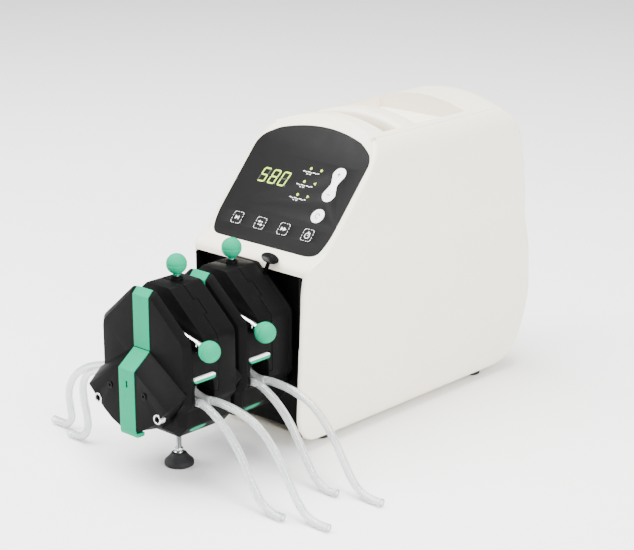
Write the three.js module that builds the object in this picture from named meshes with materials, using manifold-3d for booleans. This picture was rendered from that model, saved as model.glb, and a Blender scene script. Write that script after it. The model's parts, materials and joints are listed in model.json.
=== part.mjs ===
// Bench peristaltic pump: a white drive unit with a carrying handle and a sloping key panel,
// and two identical roller pump heads stacked on one drive shaft in front of it.
// Millimetres. X is to the right seen from the front, Y runs to the back, Z is up from the bench.
import * as THREE from 'three';
import { mergeVertices } from 'three/addons/utils/BufferGeometryUtils.js';
import Module from 'manifold-3d';

const wasm = await Module();
wasm.setup();

// ---------------------------------------------------------------- driving sizes
const gap = 0.3; // between pieces that touch or are let into each other
const sliver = 0.02; // facets that differ by less than this are merged

// drive casing
const wall = 3;
const lowHalf = 67; // half width below the crease
const highHalf = 74; // half width beside the key panel
const seamHalf = 62; // half width where the side shells meet the top cover
const footHeight = 7.5;
const seamZ = 265;
const crown = 13; // rise of the top cover in the middle
const noseY = -103.6; // front of the lip over the pump heads
const panelY = -85.7; // key panel plane at z = panelZ
const panelZ = 176;
const panelLean = 41.5; // degrees back from upright
const rearBulge = 225.8; // furthest back, near the bottom
const blackPanelY = -91;

// handle well
const wellHalf = 52;
const wellFront = 16;
const wellRear = 132;
const wellFloor = 222;
const gripFront = 39;
const gripDepth = 26;
const gripHeight = 16;

// pump head, measured from the rotor axis and the front of the head cover
const axisZ = 90;
const headHalf = 54;
const headTop = 78;
const headTopHalf = 13.8;
const shoulderZ = 43;
const hipZ = -12;
const waistHalf = 47.5;
const waistZ = -20;
const chinHalf = 38;
const chinZ = -34;
const headBottom = -44;
const coverThick = 6;
const coverChamfer = 5;
const slotRear = 19.6;
const seamY = 35.75;
const headDepth = 56;
const headStep = 9; // from one head's back to the cover of the next
const flangePlate = 4.1;
const capDepth = 18;
const stripeHalf = 9.5;

const noseClear = 1; // from the flange plate to the lip of the casing
const headPitch = headDepth + headStep;
const frontCoverY = noseY - noseClear - flangePlate - gap - headDepth - headPitch;

// rollers, tubing and the track that the tubing is pressed on
const orbit = 20;
const rollerR = 7;
const rollerCount = 3;
const rollerFront = 10.6;
const rollerLength = 19.8;
const tubeR = 3.5;
const tubeClear = 0.6; // open space left to the rollers
const channels = [14.5, 25.5]; // the two tubes of a head, behind the cover's face
const exitDrop = 12; // tube exit below the rotor axis
const shaftR = 4;
const shaftNose = 15.5; // each rotor shaft's front end, ahead of its head's cover

// jaw and lever
const jawBottom = -6;
const jawLift = 6;
const pivotZ = 53;
const camHigh = 11.5;
const camClear = 0.5;
const leverSwing = 200; // degrees
const leverDrop = 16; // ball below the pivot at rest
const leverReach = headHalf + 13.9;
const leverBallR = 9.2;
const rodR = 3;
const leverY = 13;

// lock pin, clamp button, tie bolts, levelling foot
const pinY = 41.4;
const pinBallR = 9;
const pinBallZ = headTop + 13.7;
const pinR = 2.5;
const buttonY = 20;
const buttonZ = 9;
const buttonLength = 24;
const buttonHeight = 5;
const buttonPocketDepth = 6.5;
const buttonSunk = 3.4;
const buttonProud = 1.4;
const boltX = 37;
const boltZ = -21.5;
const boltR = 2.4;
const boltHeadR = 4.4;
const boltHeadHeight = 5;
const legY = 39;
const legR = 2.5;
const padR = 13;

// ---------------------------------------------------------------- finishes
const finish = (color, roughness, metalness = 0) =>
  new THREE.MeshStandardMaterial({ color, roughness, metalness });
const cream = finish(0xece8e1, 0.5);
const black = finish(0x1e1e1f, 0.5);
const charcoal = finish(0x4d4d4d, 0.45);
const teal = finish(0x5dd3b8, 0.45);
const white = finish(0xf2f2f2, 0.5);
const steel = finish(0xc8c8c8, 0.25, 1);
const rubber = finish(0x3a3a3a, 0.8);
const silicone = finish(0xe6e6e4, 0.3);
const greenBoard = finish(0x1f6b3a, 0.6);

// ---------------------------------------------------------------- solids
const toSolid = (geometry) => {
  const bare = geometry.clone();
  bare.deleteAttribute('normal');
  bare.deleteAttribute('uv');
  const merged = mergeVertices(bare, 1e-4);
  const vertProperties = new Float32Array(merged.attributes.position.array);
  const triVerts = new Uint32Array(merged.index.array);
  return new wasm.Manifold(new wasm.Mesh({ numProp: 3, vertProperties, triVerts }));
};

const toGeometry = (solid) => {
  const cut = solid.simplify(sliver).getMesh();
  const geometry = new THREE.BufferGeometry();
  geometry.setAttribute('position', new THREE.BufferAttribute(cut.vertProperties, 3));
  geometry.setIndex(new THREE.BufferAttribute(cut.triVerts, 1));
  geometry.computeVertexNormals();
  return geometry;
};

// Triangles that close a ring of points, seen along one axis (0, 1 or 2).
const capTriangles = (ring, axis) => {
  const flat = ring.map((p) => new THREE.Vector2(p[(axis + 1) % 3], p[(axis + 2) % 3]));
  const triangles = THREE.ShapeUtils.triangulateShape(flat, []);
  const [a, b, c] = triangles[0].map((n) => flat[n]);
  const turnsLeft = b.clone().sub(a).cross(c.clone().sub(a)) > 0;
  const ringTurnsLeft = THREE.ShapeUtils.area(flat) > 0;
  return turnsLeft === ringTurnsLeft ? triangles : triangles.map(([i, j, k]) => [i, k, j]);
};

// A closed body through a list of rings with the same number of points.
// bands gives the end faces as pairs of points instead, for a ring whose ends are not flat.
const loft = (rings, axis, bands = null) => {
  const count = rings[0].length;
  const positions = rings.flat(2);
  const index = [];
  for (let k = 0; k + 1 < rings.length; k += 1) {
    for (let i = 0; i < count; i += 1) {
      const j = (i + 1) % count;
      const a = k * count;
      const b = a + count;
      index.push(a + i, a + j, b + j, a + i, b + j, b + i);
    }
  }
  const ends = bands || capTriangles(rings[0], axis);
  const last = (rings.length - 1) * count;
  for (const [a, b, c] of ends) {
    index.push(a, c, b, last + a, last + b, last + c);
  }
  let volume = 0;
  const at = (n) => new THREE.Vector3().fromArray(positions, n * 3);
  for (let t = 0; t < index.length; t += 3) {
    volume += at(index[t]).dot(at(index[t + 1]).cross(at(index[t + 2])));
  }
  const geometry = new THREE.BufferGeometry();
  geometry.setAttribute('position', new THREE.Float32BufferAttribute(positions, 3));
  geometry.setIndex(volume < 0 ? index.slice().reverse() : index);
  return toSolid(geometry);
};

const signedArea = (points) =>
  THREE.ShapeUtils.area(points.map(([x, y]) => new THREE.Vector2(x, y)));
const anticlockwise = (points) => (signedArea(points) < 0 ? points.slice().reverse() : points);

// An outline (u, v) carried straight along an axis: 0 for X, 1 for Y, 2 for Z.
const place = (axis, [u, v], along) => {
  if (axis === 0) return [along, u, v];
  if (axis === 1) return [u, along, v];
  return [u, v, along];
};
const prism = (points, axis, from, to) => {
  const turn = anticlockwise(points);
  const flat = turn.map(([u, v]) => new THREE.Vector2(u, v));
  const ends = THREE.ShapeUtils.triangulateShape(flat, []);
  return loft([from, to].map((along) => turn.map((p) => place(axis, p, along))), axis, ends);
};

const box = (x0, x1, y0, y1, z0, z1) => {
  const geometry = new THREE.BoxGeometry(x1 - x0, y1 - y0, z1 - z0);
  geometry.translate((x0 + x1) / 2, (y0 + y1) / 2, (z0 + z1) / 2);
  return toSolid(geometry);
};

// A round bar along X, Y or Z between two stations.
const bar = (axis, u, v, radius, from, to, sides = 24) => {
  const geometry = new THREE.CylinderGeometry(radius, radius, Math.abs(to - from), sides);
  if (axis === 0) geometry.rotateZ(Math.PI / 2);
  if (axis === 2) geometry.rotateX(Math.PI / 2);
  const middle = place(axis, [u, v], (from + to) / 2);
  geometry.translate(...middle);
  return toSolid(geometry);
};

// A turned body: profile points (radius, height), stood on the Z axis.
const turned = (profile, sides = 24) => {
  const geometry = new THREE.LatheGeometry(
    profile.map(([r, h]) => new THREE.Vector2(r, h)),
    sides,
  );
  geometry.rotateX(Math.PI / 2);
  return geometry;
};

// An outline with its corners rounded; radii holds one radius for each corner.
const rounded = (points, radii, steps = 3) => {
  const out = [];
  points.forEach((corner, i) => {
    const r = Array.isArray(radii) ? radii[i] : radii;
    if (!r) {
      out.push(corner);
      return;
    }
    const p = new THREE.Vector2(...corner);
    const before = new THREE.Vector2(...points[(i + points.length - 1) % points.length]).sub(p);
    const after = new THREE.Vector2(...points[(i + 1) % points.length]).sub(p);
    const reach = Math.min(
      r / Math.tan(before.angleTo(after) / 2),
      before.length() * 0.45,
      after.length() * 0.45,
    );
    const a = before.normalize().multiplyScalar(reach).add(p);
    const b = after.normalize().multiplyScalar(reach).add(p);
    for (let k = 0; k <= steps; k += 1) {
      const t = k / steps;
      const s = 1 - t;
      out.push([
        s * s * a.x + 2 * s * t * p.x + t * t * b.x,
        s * s * a.y + 2 * s * t * p.y + t * t * b.y,
      ]);
    }
  });
  return out;
};

// A convex outline moved inwards by a distance, corner for corner.
const inset = (points, distance) => {
  const turn = Math.sign(signedArea(points));
  const count = points.length;
  const edge = (i) => {
    const a = points[i];
    const b = points[(i + 1) % count];
    const length = Math.hypot(b[0] - a[0], b[1] - a[1]);
    const n = [(-turn * (b[1] - a[1])) / length, (turn * (b[0] - a[0])) / length];
    return { n, c: n[0] * a[0] + n[1] * a[1] + distance };
  };
  return points.map((_, i) => {
    const p = edge((i + count - 1) % count);
    const q = edge(i);
    const det = p.n[0] * q.n[1] - p.n[1] * q.n[0];
    return [(p.c * q.n[1] - q.c * p.n[1]) / det, (p.n[0] * q.c - q.n[0] * p.c) / det];
  });
};

const mirrored = (half) => [...half, ...half.map(([x, z]) => [-x, z]).reverse()];

const pump = new THREE.Group();
const addMesh = (parent, name, shape, material) => {
  const geometry = shape.isBufferGeometry ? shape : toGeometry(shape);
  const mesh = new THREE.Mesh(geometry, material);
  mesh.name = name;
  parent.add(mesh);
  return mesh;
};

// ---------------------------------------------------------------- drive casing
const blend = (table, z) => {
  const last = table.length - 1;
  if (z <= table[0][0]) return table[0][1];
  for (let i = 0; i < last; i += 1) {
    const [z0, v0] = table[i];
    const [z1, v1] = table[i + 1];
    if (z <= z1) return v0 + ((v1 - v0) * (z - z0)) / (z1 - z0);
  }
  const [z0, v0] = table[last - 1];
  const [z1, v1] = table[last];
  return v1 + ((v1 - v0) * (z - z1)) / (z1 - z0);
};

const leanPerZ = Math.tan(THREE.MathUtils.degToRad(panelLean));
const onPanel = (z) => panelY + (z - panelZ) * leanPerZ;
// front edge of the casing: rounded toe, upright sill, rounded nose, then the panel slope
const frontLine = [
  [footHeight, noseY + 19.6],
  [9.4, noseY + 11.6],
  [14.8, noseY + 2.6],
  [22, noseY - 2.9],
  [32.5, noseY - 5.4],
  [126, noseY - 1.2],
  [150, noseY - 0.4],
  [163, noseY],
  [168, noseY + 1],
  [171.5, noseY + 4.6],
  [174.5, noseY + 11.1],
  [178, onPanel(178)],
  [240, onPanel(240)],
];
// back edge: tucked in at the bottom, full above it, then leaning forward to the top
const rearLine = [
  [footHeight, rearBulge - 50],
  [9.7, rearBulge - 46],
  [18.3, rearBulge - 26.7],
  [31.2, rearBulge - 15.9],
  [55, rearBulge - 5.5],
  [74.6, rearBulge],
  [95.6, rearBulge - 0.4],
  [127.2, rearBulge - 3.1],
  [154.4, rearBulge - 12.3],
  [183.5, rearBulge - 20.5],
  [210, rearBulge - 24.8],
  [243, rearBulge - 32],
  [257, rearBulge - 37],
  [262, rearBulge - 41],
  [seamZ, rearBulge - 48],
];
const halfLine = [
  [footHeight, lowHalf - 6],
  [9.4, lowHalf - 2.2],
  [14.8, lowHalf],
  [126, lowHalf],
  [150, lowHalf + 0.8],
  [163, lowHalf + 2.4],
  [171.5, highHalf - 2.4],
  [183.5, highHalf - 0.6],
  [200, highHalf],
  [236, highHalf],
  [246, highHalf - 1],
  [254, highHalf - 3.5],
  [260, highHalf - 7],
  [seamZ, seamHalf],
];
// heights of the casing's rings: every table height that is far enough above the one below
const rowPitch = 4.4;
const topRowPitch = 3;
const topRowsFrom = seamZ - 20;
const casingRows = [];
for (const z of [...frontLine, ...rearLine, ...halfLine].map(([height]) => height).sort((a, b) => a - b)) {
  const pitch = z > topRowsFrom ? topRowPitch : rowPitch;
  if (!casingRows.length || z - casingRows[casingRows.length - 1] >= pitch) casingRows.push(z);
}
if (casingRows[casingRows.length - 1] !== seamZ) casingRows.push(seamZ);
const crownAt = (x) => crown * (1 - Math.min(1, Math.abs(x) / seamHalf) ** 2);
const crownShare = (z) => THREE.MathUtils.smoothstep(z, 205, seamZ);

// The casing's form moved inwards by a distance on each side (outwards when negative).
const casingForm = ({ side = 0, front = 0, rear = 0, bottom = 0, top = 0 }) => {
  const cornerR = 4;
  const flats = 6;
  const stations = casingRows.map((row) => [row, row]);
  stations[0][1] += Math.max(bottom, 0);
  stations[stations.length - 1][1] -= Math.max(top, 0);
  if (bottom < 0) stations.unshift([footHeight, footHeight + bottom]);
  if (top < 0) stations.push([seamZ, seamZ - top]);
  const rings = stations.map(([row, z]) => {
    const half = blend(halfLine, row) - side;
    const xs = [];
    for (let i = 0; i <= 2; i += 1) {
      const a = (i * Math.PI) / 4;
      xs.push([-(half - cornerR) - cornerR * Math.cos(a), cornerR * (1 - Math.sin(a))]);
    }
    for (let i = 1; i < flats; i += 1) {
      xs.push([(half - cornerR) * ((2 * i) / flats - 1), 0]);
    }
    for (let i = 2; i >= 0; i -= 1) {
      const a = (i * Math.PI) / 4;
      xs.push([half - cornerR + cornerR * Math.cos(a), cornerR * (1 - Math.sin(a))]);
    }
    const frontRow = xs.map(([x, back]) => {
      const height = z + crownAt(x) * crownShare(row);
      const slope = (blend(frontLine, height + 1) - blend(frontLine, height - 1)) / 2;
      return [x, blend(frontLine, height) + back + front * Math.hypot(1, slope), height];
    });
    const rearRow = xs.map(([x, back]) => {
      const height = z + crownAt(x) * crownShare(row);
      const slope = (blend(rearLine, row + 1) - blend(rearLine, row - 1)) / 2;
      return [x, blend(rearLine, row) - back - rear * Math.hypot(1, slope), height];
    });
    return [...frontRow, ...rearRow.reverse()];
  });
  const count = rings[0].length;
  const strips = [];
  for (let i = 0; i + 1 < count / 2; i += 1) {
    strips.push([i, i + 1, count - 2 - i], [i, count - 2 - i, count - 1 - i]);
  }
  return loft(rings, 2, strips);
};

const casing = new THREE.Group();
pump.add(casing);
const outer = casingForm({});
const inner = casingForm({ side: wall, front: wall, rear: wall, bottom: wall, top: wall });
const skin = outer.subtract(inner);
const shellLap = wall + 0.8; // the side shells turn in by this much at the seams
const far = 400;
const beyond = { front: -far, rear: -far, bottom: -far, top: -far };
const middle = casingForm({ side: shellLap + gap / 2, ...beyond });
const outsideMiddle = casingForm({ side: shellLap - gap / 2, ...beyond });
const sides = skin.subtract(outsideMiddle);
addMesh(casing, 'left_side_shell', sides.intersect(box(-far, 0, -far, far, -far, far)), cream);
addMesh(casing, 'right_side_shell', sides.intersect(box(0, far, -far, far, -far, far)), cream);

const noseBottom = 163;
const middleSkin = skin.intersect(middle);
const rearSplitZ = 252;
const rearFrontY = rearBulge - 75;
const floorTop = footHeight + wall;

// rear cover: the back wall from the floor up to the top cover
const plateHalf = lowHalf - shellLap - gap / 2;
const inletZ = 60;
const inletY = rearBulge - 14;
const socketX = -17; // middle of the socket of the mains inlet
const socketHalf = 12.3;
const socketHalfHeight = 8.3;
const socketDepth = 15;
const socketWall = 2;
const socketBody = (grow, from, to) => box(
  socketX - socketHalf - grow, socketX + socketHalf + grow, from, to,
  inletZ - socketHalfHeight - grow, inletZ + socketHalfHeight + grow,
);
const recessHalf = 44;
const recessHalfHeight = 20;
const ventCount = 6;
const ventPitch = 9;
const ventHeight = 4;
const ventHalf = 30;
const ventZ = 118;
const rearPlate = () => {
  const rearZone = box(-far, far, rearFrontY, far, floorTop + gap, rearSplitZ);
  let cover = middleSkin.intersect(rearZone);
  const frame = box(
    -recessHalf - wall, recessHalf + wall, inletY - wall, rearBulge - 1,
    inletZ - recessHalfHeight - wall, inletZ + recessHalfHeight + wall,
  );
  cover = cover.add(frame.intersect(outer));
  cover = cover.subtract(box(
    -recessHalf, recessHalf, inletY, far, inletZ - recessHalfHeight, inletZ + recessHalfHeight,
  ));
  cover = cover.subtract(socketBody(socketWall + gap, rearFrontY, inletY + 1));
  for (let i = 0; i < ventCount; i += 1) {
    const z = ventZ + i * ventPitch;
    cover = cover.subtract(box(-ventHalf, ventHalf, rearFrontY, far, z, z + ventHeight));
  }
  return cover;
};

// top cover: panel frame and nose in front, handle well, and the top to the rear edge
const wellProfile = (grow) => [
  [wellFront - grow, wellFloor - grow],
  [gripFront + gripDepth, wellFloor - grow],
  [wellRear + grow, seamZ - 6 - grow],
  [wellRear + grow, seamZ + far],
  [wellFront - grow, seamZ + far],
];
const topCover = () => {
  const zone = box(-far, far, -far, far, noseBottom, far);
  const belowRear = box(-far, far, rearFrontY, far, -far, rearSplitZ + gap);
  let cover = middleSkin.intersect(zone).subtract(belowRear);
  const tray = prism(wellProfile(wall), 0, -wellHalf - wall, wellHalf + wall).intersect(outer);
  cover = cover.add(tray);
  cover = cover.subtract(prism(wellProfile(0), 0, -wellHalf, wellHalf));
  const ledge = box(
    -plateHalf, plateHalf, noseY + 1, blackPanelY + 2.5, noseBottom, noseBottom + wall,
  );
  cover = cover.add(ledge);
  return cover;
};
const sinLean = Math.sin(THREE.MathUtils.degToRad(panelLean));
const cosLean = Math.cos(THREE.MathUtils.degToRad(panelLean));
const panelFrame = new THREE.Matrix4().makeBasis(
  new THREE.Vector3(1, 0, 0),
  new THREE.Vector3(0, sinLean, cosLean),
  new THREE.Vector3(0, -cosLean, sinLean),
).setPosition(0, panelY, panelZ);
const onPanelFrame = (solid) => solid.transform(Array.from(panelFrame.elements));

// ---------------------------------------------------------------- key panel
// On the panel frame: u across, v up the slope, w out of it.
const overlayThick = 1.2;
const overlayHalf = highHalf - 5.4;
const keyRaise = 0.4;
const keyThick = 1.1;
const squareKeyHalf = 6.2;
const roundKeyR = 6.6;
const overlayOutline = (grow) => {
  const half = overlayHalf + grow;
  const top = 123 + grow;
  const side = 112 + grow;
  const points = [[half - 6, -1 - grow], [half, 18], [half, side - 10], [half - 18, side + 2]];
  for (let i = 1; i <= 3; i += 1) {
    const x = (half - 18) * (1 - i / 4);
    points.push([x, side + 2 + (top - side - 2) * (1 - (1 - i / 4) ** 2)]);
  }
  points.push([0, top]);
  const left = points.slice(0, -1).map(([x, y]) => [-x, y]).reverse();
  const all = [...points, ...left];
  return rounded(all, all.map(([x]) => (Math.abs(x) > half - 19 ? 12 : 0)), 3);
};
const keySpots = {
  start_key: { u: -43, v: 19, shape: 'square' },
  direction_key: { u: -14.3, v: 19, shape: 'square' },
  fast_key: { u: 14.3, v: 19, shape: 'square' },
  timer_key: { u: 43, v: 19, shape: 'square' },
  function_key: { u: 43, v: 38.5, shape: 'round' },
  plus_minus_key: { u: 43, v: 70.5, shape: 'bone' },
};
const keyOutline = ({ u, v, shape }, grow) => {
  const circle = (r, cu, cv, from, to, steps) => {
    const out = [];
    for (let i = 0; i <= steps; i += 1) {
      const a = from + ((to - from) * i) / steps;
      out.push([cu + r * Math.cos(a), cv + r * Math.sin(a)]);
    }
    return out;
  };
  if (shape === 'round') return circle(roundKeyR + grow, u, v, 0, Math.PI * 1.875, 15);
  if (shape === 'square') {
    const h = squareKeyHalf + grow;
    return rounded([[u - h, v - h], [u + h, v - h], [u + h, v + h], [u - h, v + h]], 3, 2);
  }
  const reach = 10.4;
  const r = roundKeyR + grow;
  const waist = 3.4 + grow;
  return [
    ...circle(r, u, v + reach, -Math.PI * 0.2, Math.PI * 1.2, 9),
    [u - waist, v],
    ...circle(r, u, v - reach, Math.PI * 0.8, Math.PI * 2.2, 9),
    [u + waist, v],
  ];
};
const slab = (points, from, to) => onPanelFrame(prism(points, 2, from, to));
const pocketFloor = -overlayThick - gap;
const coverSolid = topCover().subtract(slab(overlayOutline(gap), pocketFloor, far));
let overlaySolid = slab(overlayOutline(0), -overlayThick, 0);
const keyBase = keyRaise - keyThick;
for (const spot of Object.values(keySpots)) {
  overlaySolid = overlaySolid.subtract(slab(keyOutline(spot, gap), -far, far));
}
addMesh(casing, 'top_cover', coverSolid, cream);
addMesh(casing, 'control_overlay', overlaySolid, charcoal);
for (const [name, spot] of Object.entries(keySpots)) {
  const printed = spot.shape === 'square';
  addMesh(casing, name, slab(keyOutline(spot, 0), keyBase, keyRaise), printed ? charcoal : white);
}

// handle grip: a rounded bar that bows up with the crown of the top
const gripSolid = () => {
  const stations = 10;
  const reach = wellHalf - gap;
  const rings = [];
  for (let k = 0; k <= stations; k += 1) {
    const x = reach * ((2 * k) / stations - 1);
    const top = seamZ + crownAt(x) * 0.98;
    const section = rounded([
      [gripFront, top - gripHeight],
      [gripFront + gripDepth, top - gripHeight],
      [gripFront + gripDepth, top],
      [gripFront, top],
    ], 7, 3);
    rings.push(section.map(([y, z]) => [x, y, z]));
  }
  return loft(rings, 0);
};
addMesh(casing, 'handle_grip', gripSolid(), cream);
addMesh(casing, 'rear_cover', rearPlate(), cream);

const baseRearY = rearBulge - 50;
const basePlate = middleSkin.intersect(box(-far, far, -far, far, -far, floorTop));
addMesh(casing, 'base_plate', basePlate.add(box(
  -plateHalf + 8, plateHalf - 8, noseY + 26, baseRearY - 6, footHeight, floorTop,
)), cream);

const panelBottom = 15;
const motorFront = blackPanelY + wall + gap;
const bearingHole = 11;
addMesh(casing, 'front_panel', box(
  -plateHalf - 0.6, plateHalf + 0.6, blackPanelY, blackPanelY + wall - 0.6,
  panelBottom, noseBottom - gap,
).subtract(bar(1, 0, axisZ, bearingHole, -far, far)), black);

// gear motor on the drive axis, its shaft reaching into the flange
const shaftTip = frontCoverY + 2 * headPitch - shaftNose;
const bearingR = 9;
const bearingLength = 6;
const gearboxR = 31;
const gearboxRear = motorFront + 38;
const motorR = 27;
const motorRear = motorFront + 130;
const encoderR = 20;
const encoderRear = motorRear + 16;
const motorSolid = () => {
  const steps = [
    [0, shaftTip],
    [shaftR, shaftTip],
    [shaftR, motorFront - bearingLength],
    [bearingR, motorFront - bearingLength],
    [bearingR, motorFront],
    [gearboxR, motorFront],
    [gearboxR, gearboxRear],
    [motorR, gearboxRear],
    [motorR, motorRear],
    [encoderR, motorRear],
    [encoderR, encoderRear],
    [0, encoderRear],
  ];
  const geometry = turned(steps, 20);
  geometry.rotateX(-Math.PI / 2);
  geometry.translate(0, 0, axisZ);
  return toSolid(geometry);
};
addMesh(casing, 'gear_motor', motorSolid(), steel);

// the circuit board stands along the left side, with a transformer and a capacitor bank on it
const boardX = -54;
const boardThick = 1.6;
const boardFace = boardX + boardThick - gap / 2;
const transformerHeight = 15;
const capacitorHeight = 11;
const boardSolid = box(boardX, boardX + boardThick, -20, 120, 50, 160)
  .add(box(boardFace, boardFace + transformerHeight, 0, 34, 70, 110))
  .add(box(boardFace, boardFace + capacitorHeight, 60, 80, 90, 140));
addMesh(casing, 'circuit_board', boardSolid, greenBoard);

// power inlet and its rocker switch, let into the rear cover
const inletLeft = -37;
const inletRight = 25;
const inletHalfHeight = 14;
const inletFace = inletY + 4;
const socketFloor = inletFace - socketDepth;
const rockerX = inletRight - 6;
const rockerHalf = 5;
const rockerPocketHalfHeight = 8;
const inletSolid = () => {
  let inlet = box(
    inletLeft, inletRight, inletY + gap, inletFace, inletZ - inletHalfHeight, inletZ + inletHalfHeight,
  );
  inlet = inlet.add(socketBody(socketWall, socketFloor - socketWall, inletFace));
  inlet = inlet.subtract(socketBody(0, socketFloor, far));
  for (const [dx, dz] of [[-7, -1.5], [0, 2], [7, -1.5]]) {
    const x = socketX + dx;
    const z = inletZ + dz;
    inlet = inlet.add(box(x - 1, x + 1, socketFloor - 1, inletFace - 2, z - 2, z + 2));
  }
  return inlet.subtract(box(
    rockerX - rockerHalf - 0.5, rockerX + rockerHalf + 0.5, -far, far,
    inletZ - rockerPocketHalfHeight, inletZ + rockerPocketHalfHeight,
  ));
};
addMesh(casing, 'power_inlet', inletSolid(), black);

// the rocker of the power switch, hinged across the inlet block and leaning to its off side
const rockerY = inletFace - 1;
const rockerLean = 8; // degrees either way
const rockerLow = 5.5;
const rockerHigh = 6.6;
const rocker = prism([
  [-1.2, -rockerLow], [2.6, -rockerHigh], [1.4, 0], [2.6, rockerHigh], [-1.2, rockerLow],
], 0, rockerX - rockerHalf, rockerX + rockerHalf)
  .rotate([-rockerLean, 0, 0])
  .translate(0, rockerY, inletZ);
addMesh(casing, 'power_switch', rocker, black);

// four rubber feet under the floor
const footSpots = { front: noseY + 44, rear: baseRearY - 16 };
const footX = 46;
const footR = 9;
const footEdge = 1.2;
const footTop = footHeight - gap;
for (const [end, y] of Object.entries(footSpots)) {
  for (const [hand, x] of [['left', -footX], ['right', footX]]) {
    const foot = turned([[0, 0], [footR - 1, 0], [footR, footEdge], [footR, footTop], [0, footTop]], 16);
    foot.translate(x, y, 0);
    addMesh(casing, `${end}_${hand}_foot`, foot, rubber);
  }
}

// ---------------------------------------------------------------- pump head
const trackR = orbit + rollerR + tubeClear + 2 * tubeR + gap;
const tubeBendR = orbit + rollerR + tubeClear + tubeR;
const exitZ = -exitDrop;
const windowBottom = exitZ - tubeR - gap - 0.4;
const windowTop = 5;
const windowFront = channels[0] - tubeR - 2;
const windowRear = channels[1] + tubeR + 2;
const headOutline = mirrored([
  [headTopHalf, headTop],
  [headHalf, shoulderZ],
  [headHalf, hipZ],
  [waistHalf, waistZ],
  [waistHalf, chinZ],
  [chinHalf, headBottom],
]);
const headCorners = mirrored([[5, 0], [9, 0], [3, 0], [2, 0], [4, 0], [3, 0]]).map(([r]) => Math.abs(r));
const headRing = (distance) => rounded(inset(headOutline, distance), headCorners, 2);
const capBack = mirrored([[10, 26], [53.4, -2], [33, -30.5], [21.5, -38.5], [10, -42.5]]);
const capFace = mirrored([[11, 12.6], [49, -12], [30.5, -29], [20, -36], [10, -40]]);
const boltSpots = [-boltX, boltX];
const boltHoles = (from, to) => boltSpots
  .map((x) => bar(1, x, boltZ, boltR + gap, from, to, 12))
  .reduce((all, hole) => all.add(hole));

const coverForm = (grow) => loft([
  headRing(coverChamfer - 0.414 * grow).map(([x, z]) => [x, -grow, z]),
  headRing(-grow).map(([x, z]) => [x, coverChamfer - 0.414 * grow, z]),
  headRing(-grow).map(([x, z]) => [x, coverThick, z]),
], 1);
const capForm = (grow, back = -gap) => {
  const stations = [[capFace, -capDepth - grow], [capBack, -gap - grow]];
  if (back > -gap - grow) stations.push([capBack, back]);
  return loft(
    stations.map(([outline, y]) => inset(outline, -grow).map(([x, z]) => [x, y, z])),
    1,
  );
};
const inlayDepth = 1.2;
const inlayProud = 0.6;
const coverStripeFoot = 27.2;
const stripeBand = (half, z0, z1, y1 = coverThick) => box(-half, half, -far, y1, z0, z1);

const coverSolidOf = () => {
  const groove = stripeBand(stripeHalf + gap, coverStripeFoot - gap, far, far)
    .subtract(coverForm(-inlayDepth));
  let cover = coverForm(0).subtract(groove);
  cover = cover.subtract(bar(1, 0, 0, shaftR + 0.4, -far, far, 16));
  cover = cover.subtract(bar(1, 0, pivotZ, 3.9, 2, far, 16));
  return cover.subtract(boltHoles(-far, far));
};
const coverStripe = coverForm(inlayProud)
  .subtract(coverForm(-inlayDepth + gap))
  .intersect(stripeBand(stripeHalf, coverStripeFoot, far));

const capSolidOf = () => {
  const groove = stripeBand(stripeHalf + gap, -far, far, far).subtract(capForm(-inlayDepth, far));
  let cap = capForm(0).subtract(groove.intersect(box(-far, far, -far, far, headBottom, far)));
  cap = cap.subtract(bar(1, 0, 0, shaftR + 0.4, -far, far, 16));
  cap = cap.subtract(boltHoles(-far, far));
  for (const x of boltSpots) {
    cap = cap.subtract(bar(1, x, boltZ, boltHeadR + 0.5, -far, -capDepth + boltHeadHeight, 16));
  }
  return cap;
};
const capStripeSolid = () => {
  const toe = -capDepth - inlayProud;
  const drop = headBottom - 2.6;
  let stripe = capForm(inlayProud)
    .subtract(capForm(-inlayDepth + gap, far))
    .intersect(stripeBand(stripeHalf, -38, far, -gap));
  const tongue = prism(rounded([
    [toe, -37],
    [toe, drop],
    [-8, drop],
    [-8, headBottom + 0.9],
    [toe + inlayProud + inlayDepth - gap, headBottom + 1.5],
    [toe + inlayProud + inlayDepth - gap, -37],
  ], [0, 6, 3, 0, 0, 0], 4), 0, -stripeHalf, stripeHalf);
  stripe = stripe.add(tongue);
  return stripe.subtract(box(-1.1, 1.1, -far, far, -3, 3));
};

const tabHalf = 6;
const tabX = 32;
const tabDeep = 4;
const tabZ = 44;
const legBoreTop = headBottom + 26;
const housingSolid = () => {
  const ring = headRing(0);
  const block = prism(ring, 1, seamY + gap / 2, headDepth);
  const lower = prism(ring, 1, coverThick + gap, seamY + 1)
    .intersect(box(-far, far, -far, far, -far, jawBottom - gap));
  const collar = bar(2, 0, pinY, pinY - seamY - gap, headTop - 1, headTop + 2.4, 20);
  let housing = block.add(lower).add(collar);
  housing = housing.subtract(bar(1, 0, 0, trackR, 0, seamY - gap / 2, 32));
  for (const side of [-1, 1]) {
    const [x0, x1] = side < 0 ? [-far, -20] : [20, far];
    housing = housing.subtract(box(x0, x1, windowFront, windowRear, windowBottom, 0));
  }
  housing = housing.subtract(bar(1, 0, 0, shaftR + 0.4, 0, far, 16));
  housing = housing.subtract(boltHoles(-far, far));
  housing = housing.subtract(bar(2, 0, pinY, pinR + gap, headTop - 22, far, 16));
  housing = housing.subtract(bar(2, 0, legY, legR + gap, -far, legBoreTop, 16));
  housing = housing.subtract(box(
    tabX - tabHalf, tabX + tabHalf, 0, seamY + tabDeep + gap, tabZ, far,
  ).subtract(box(-far, far, -far, seamY, -far, far)));
  const nextCap = capForm(gap, 5).translate(0, headPitch, 0);
  return housing.subtract(nextCap);
};

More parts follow.
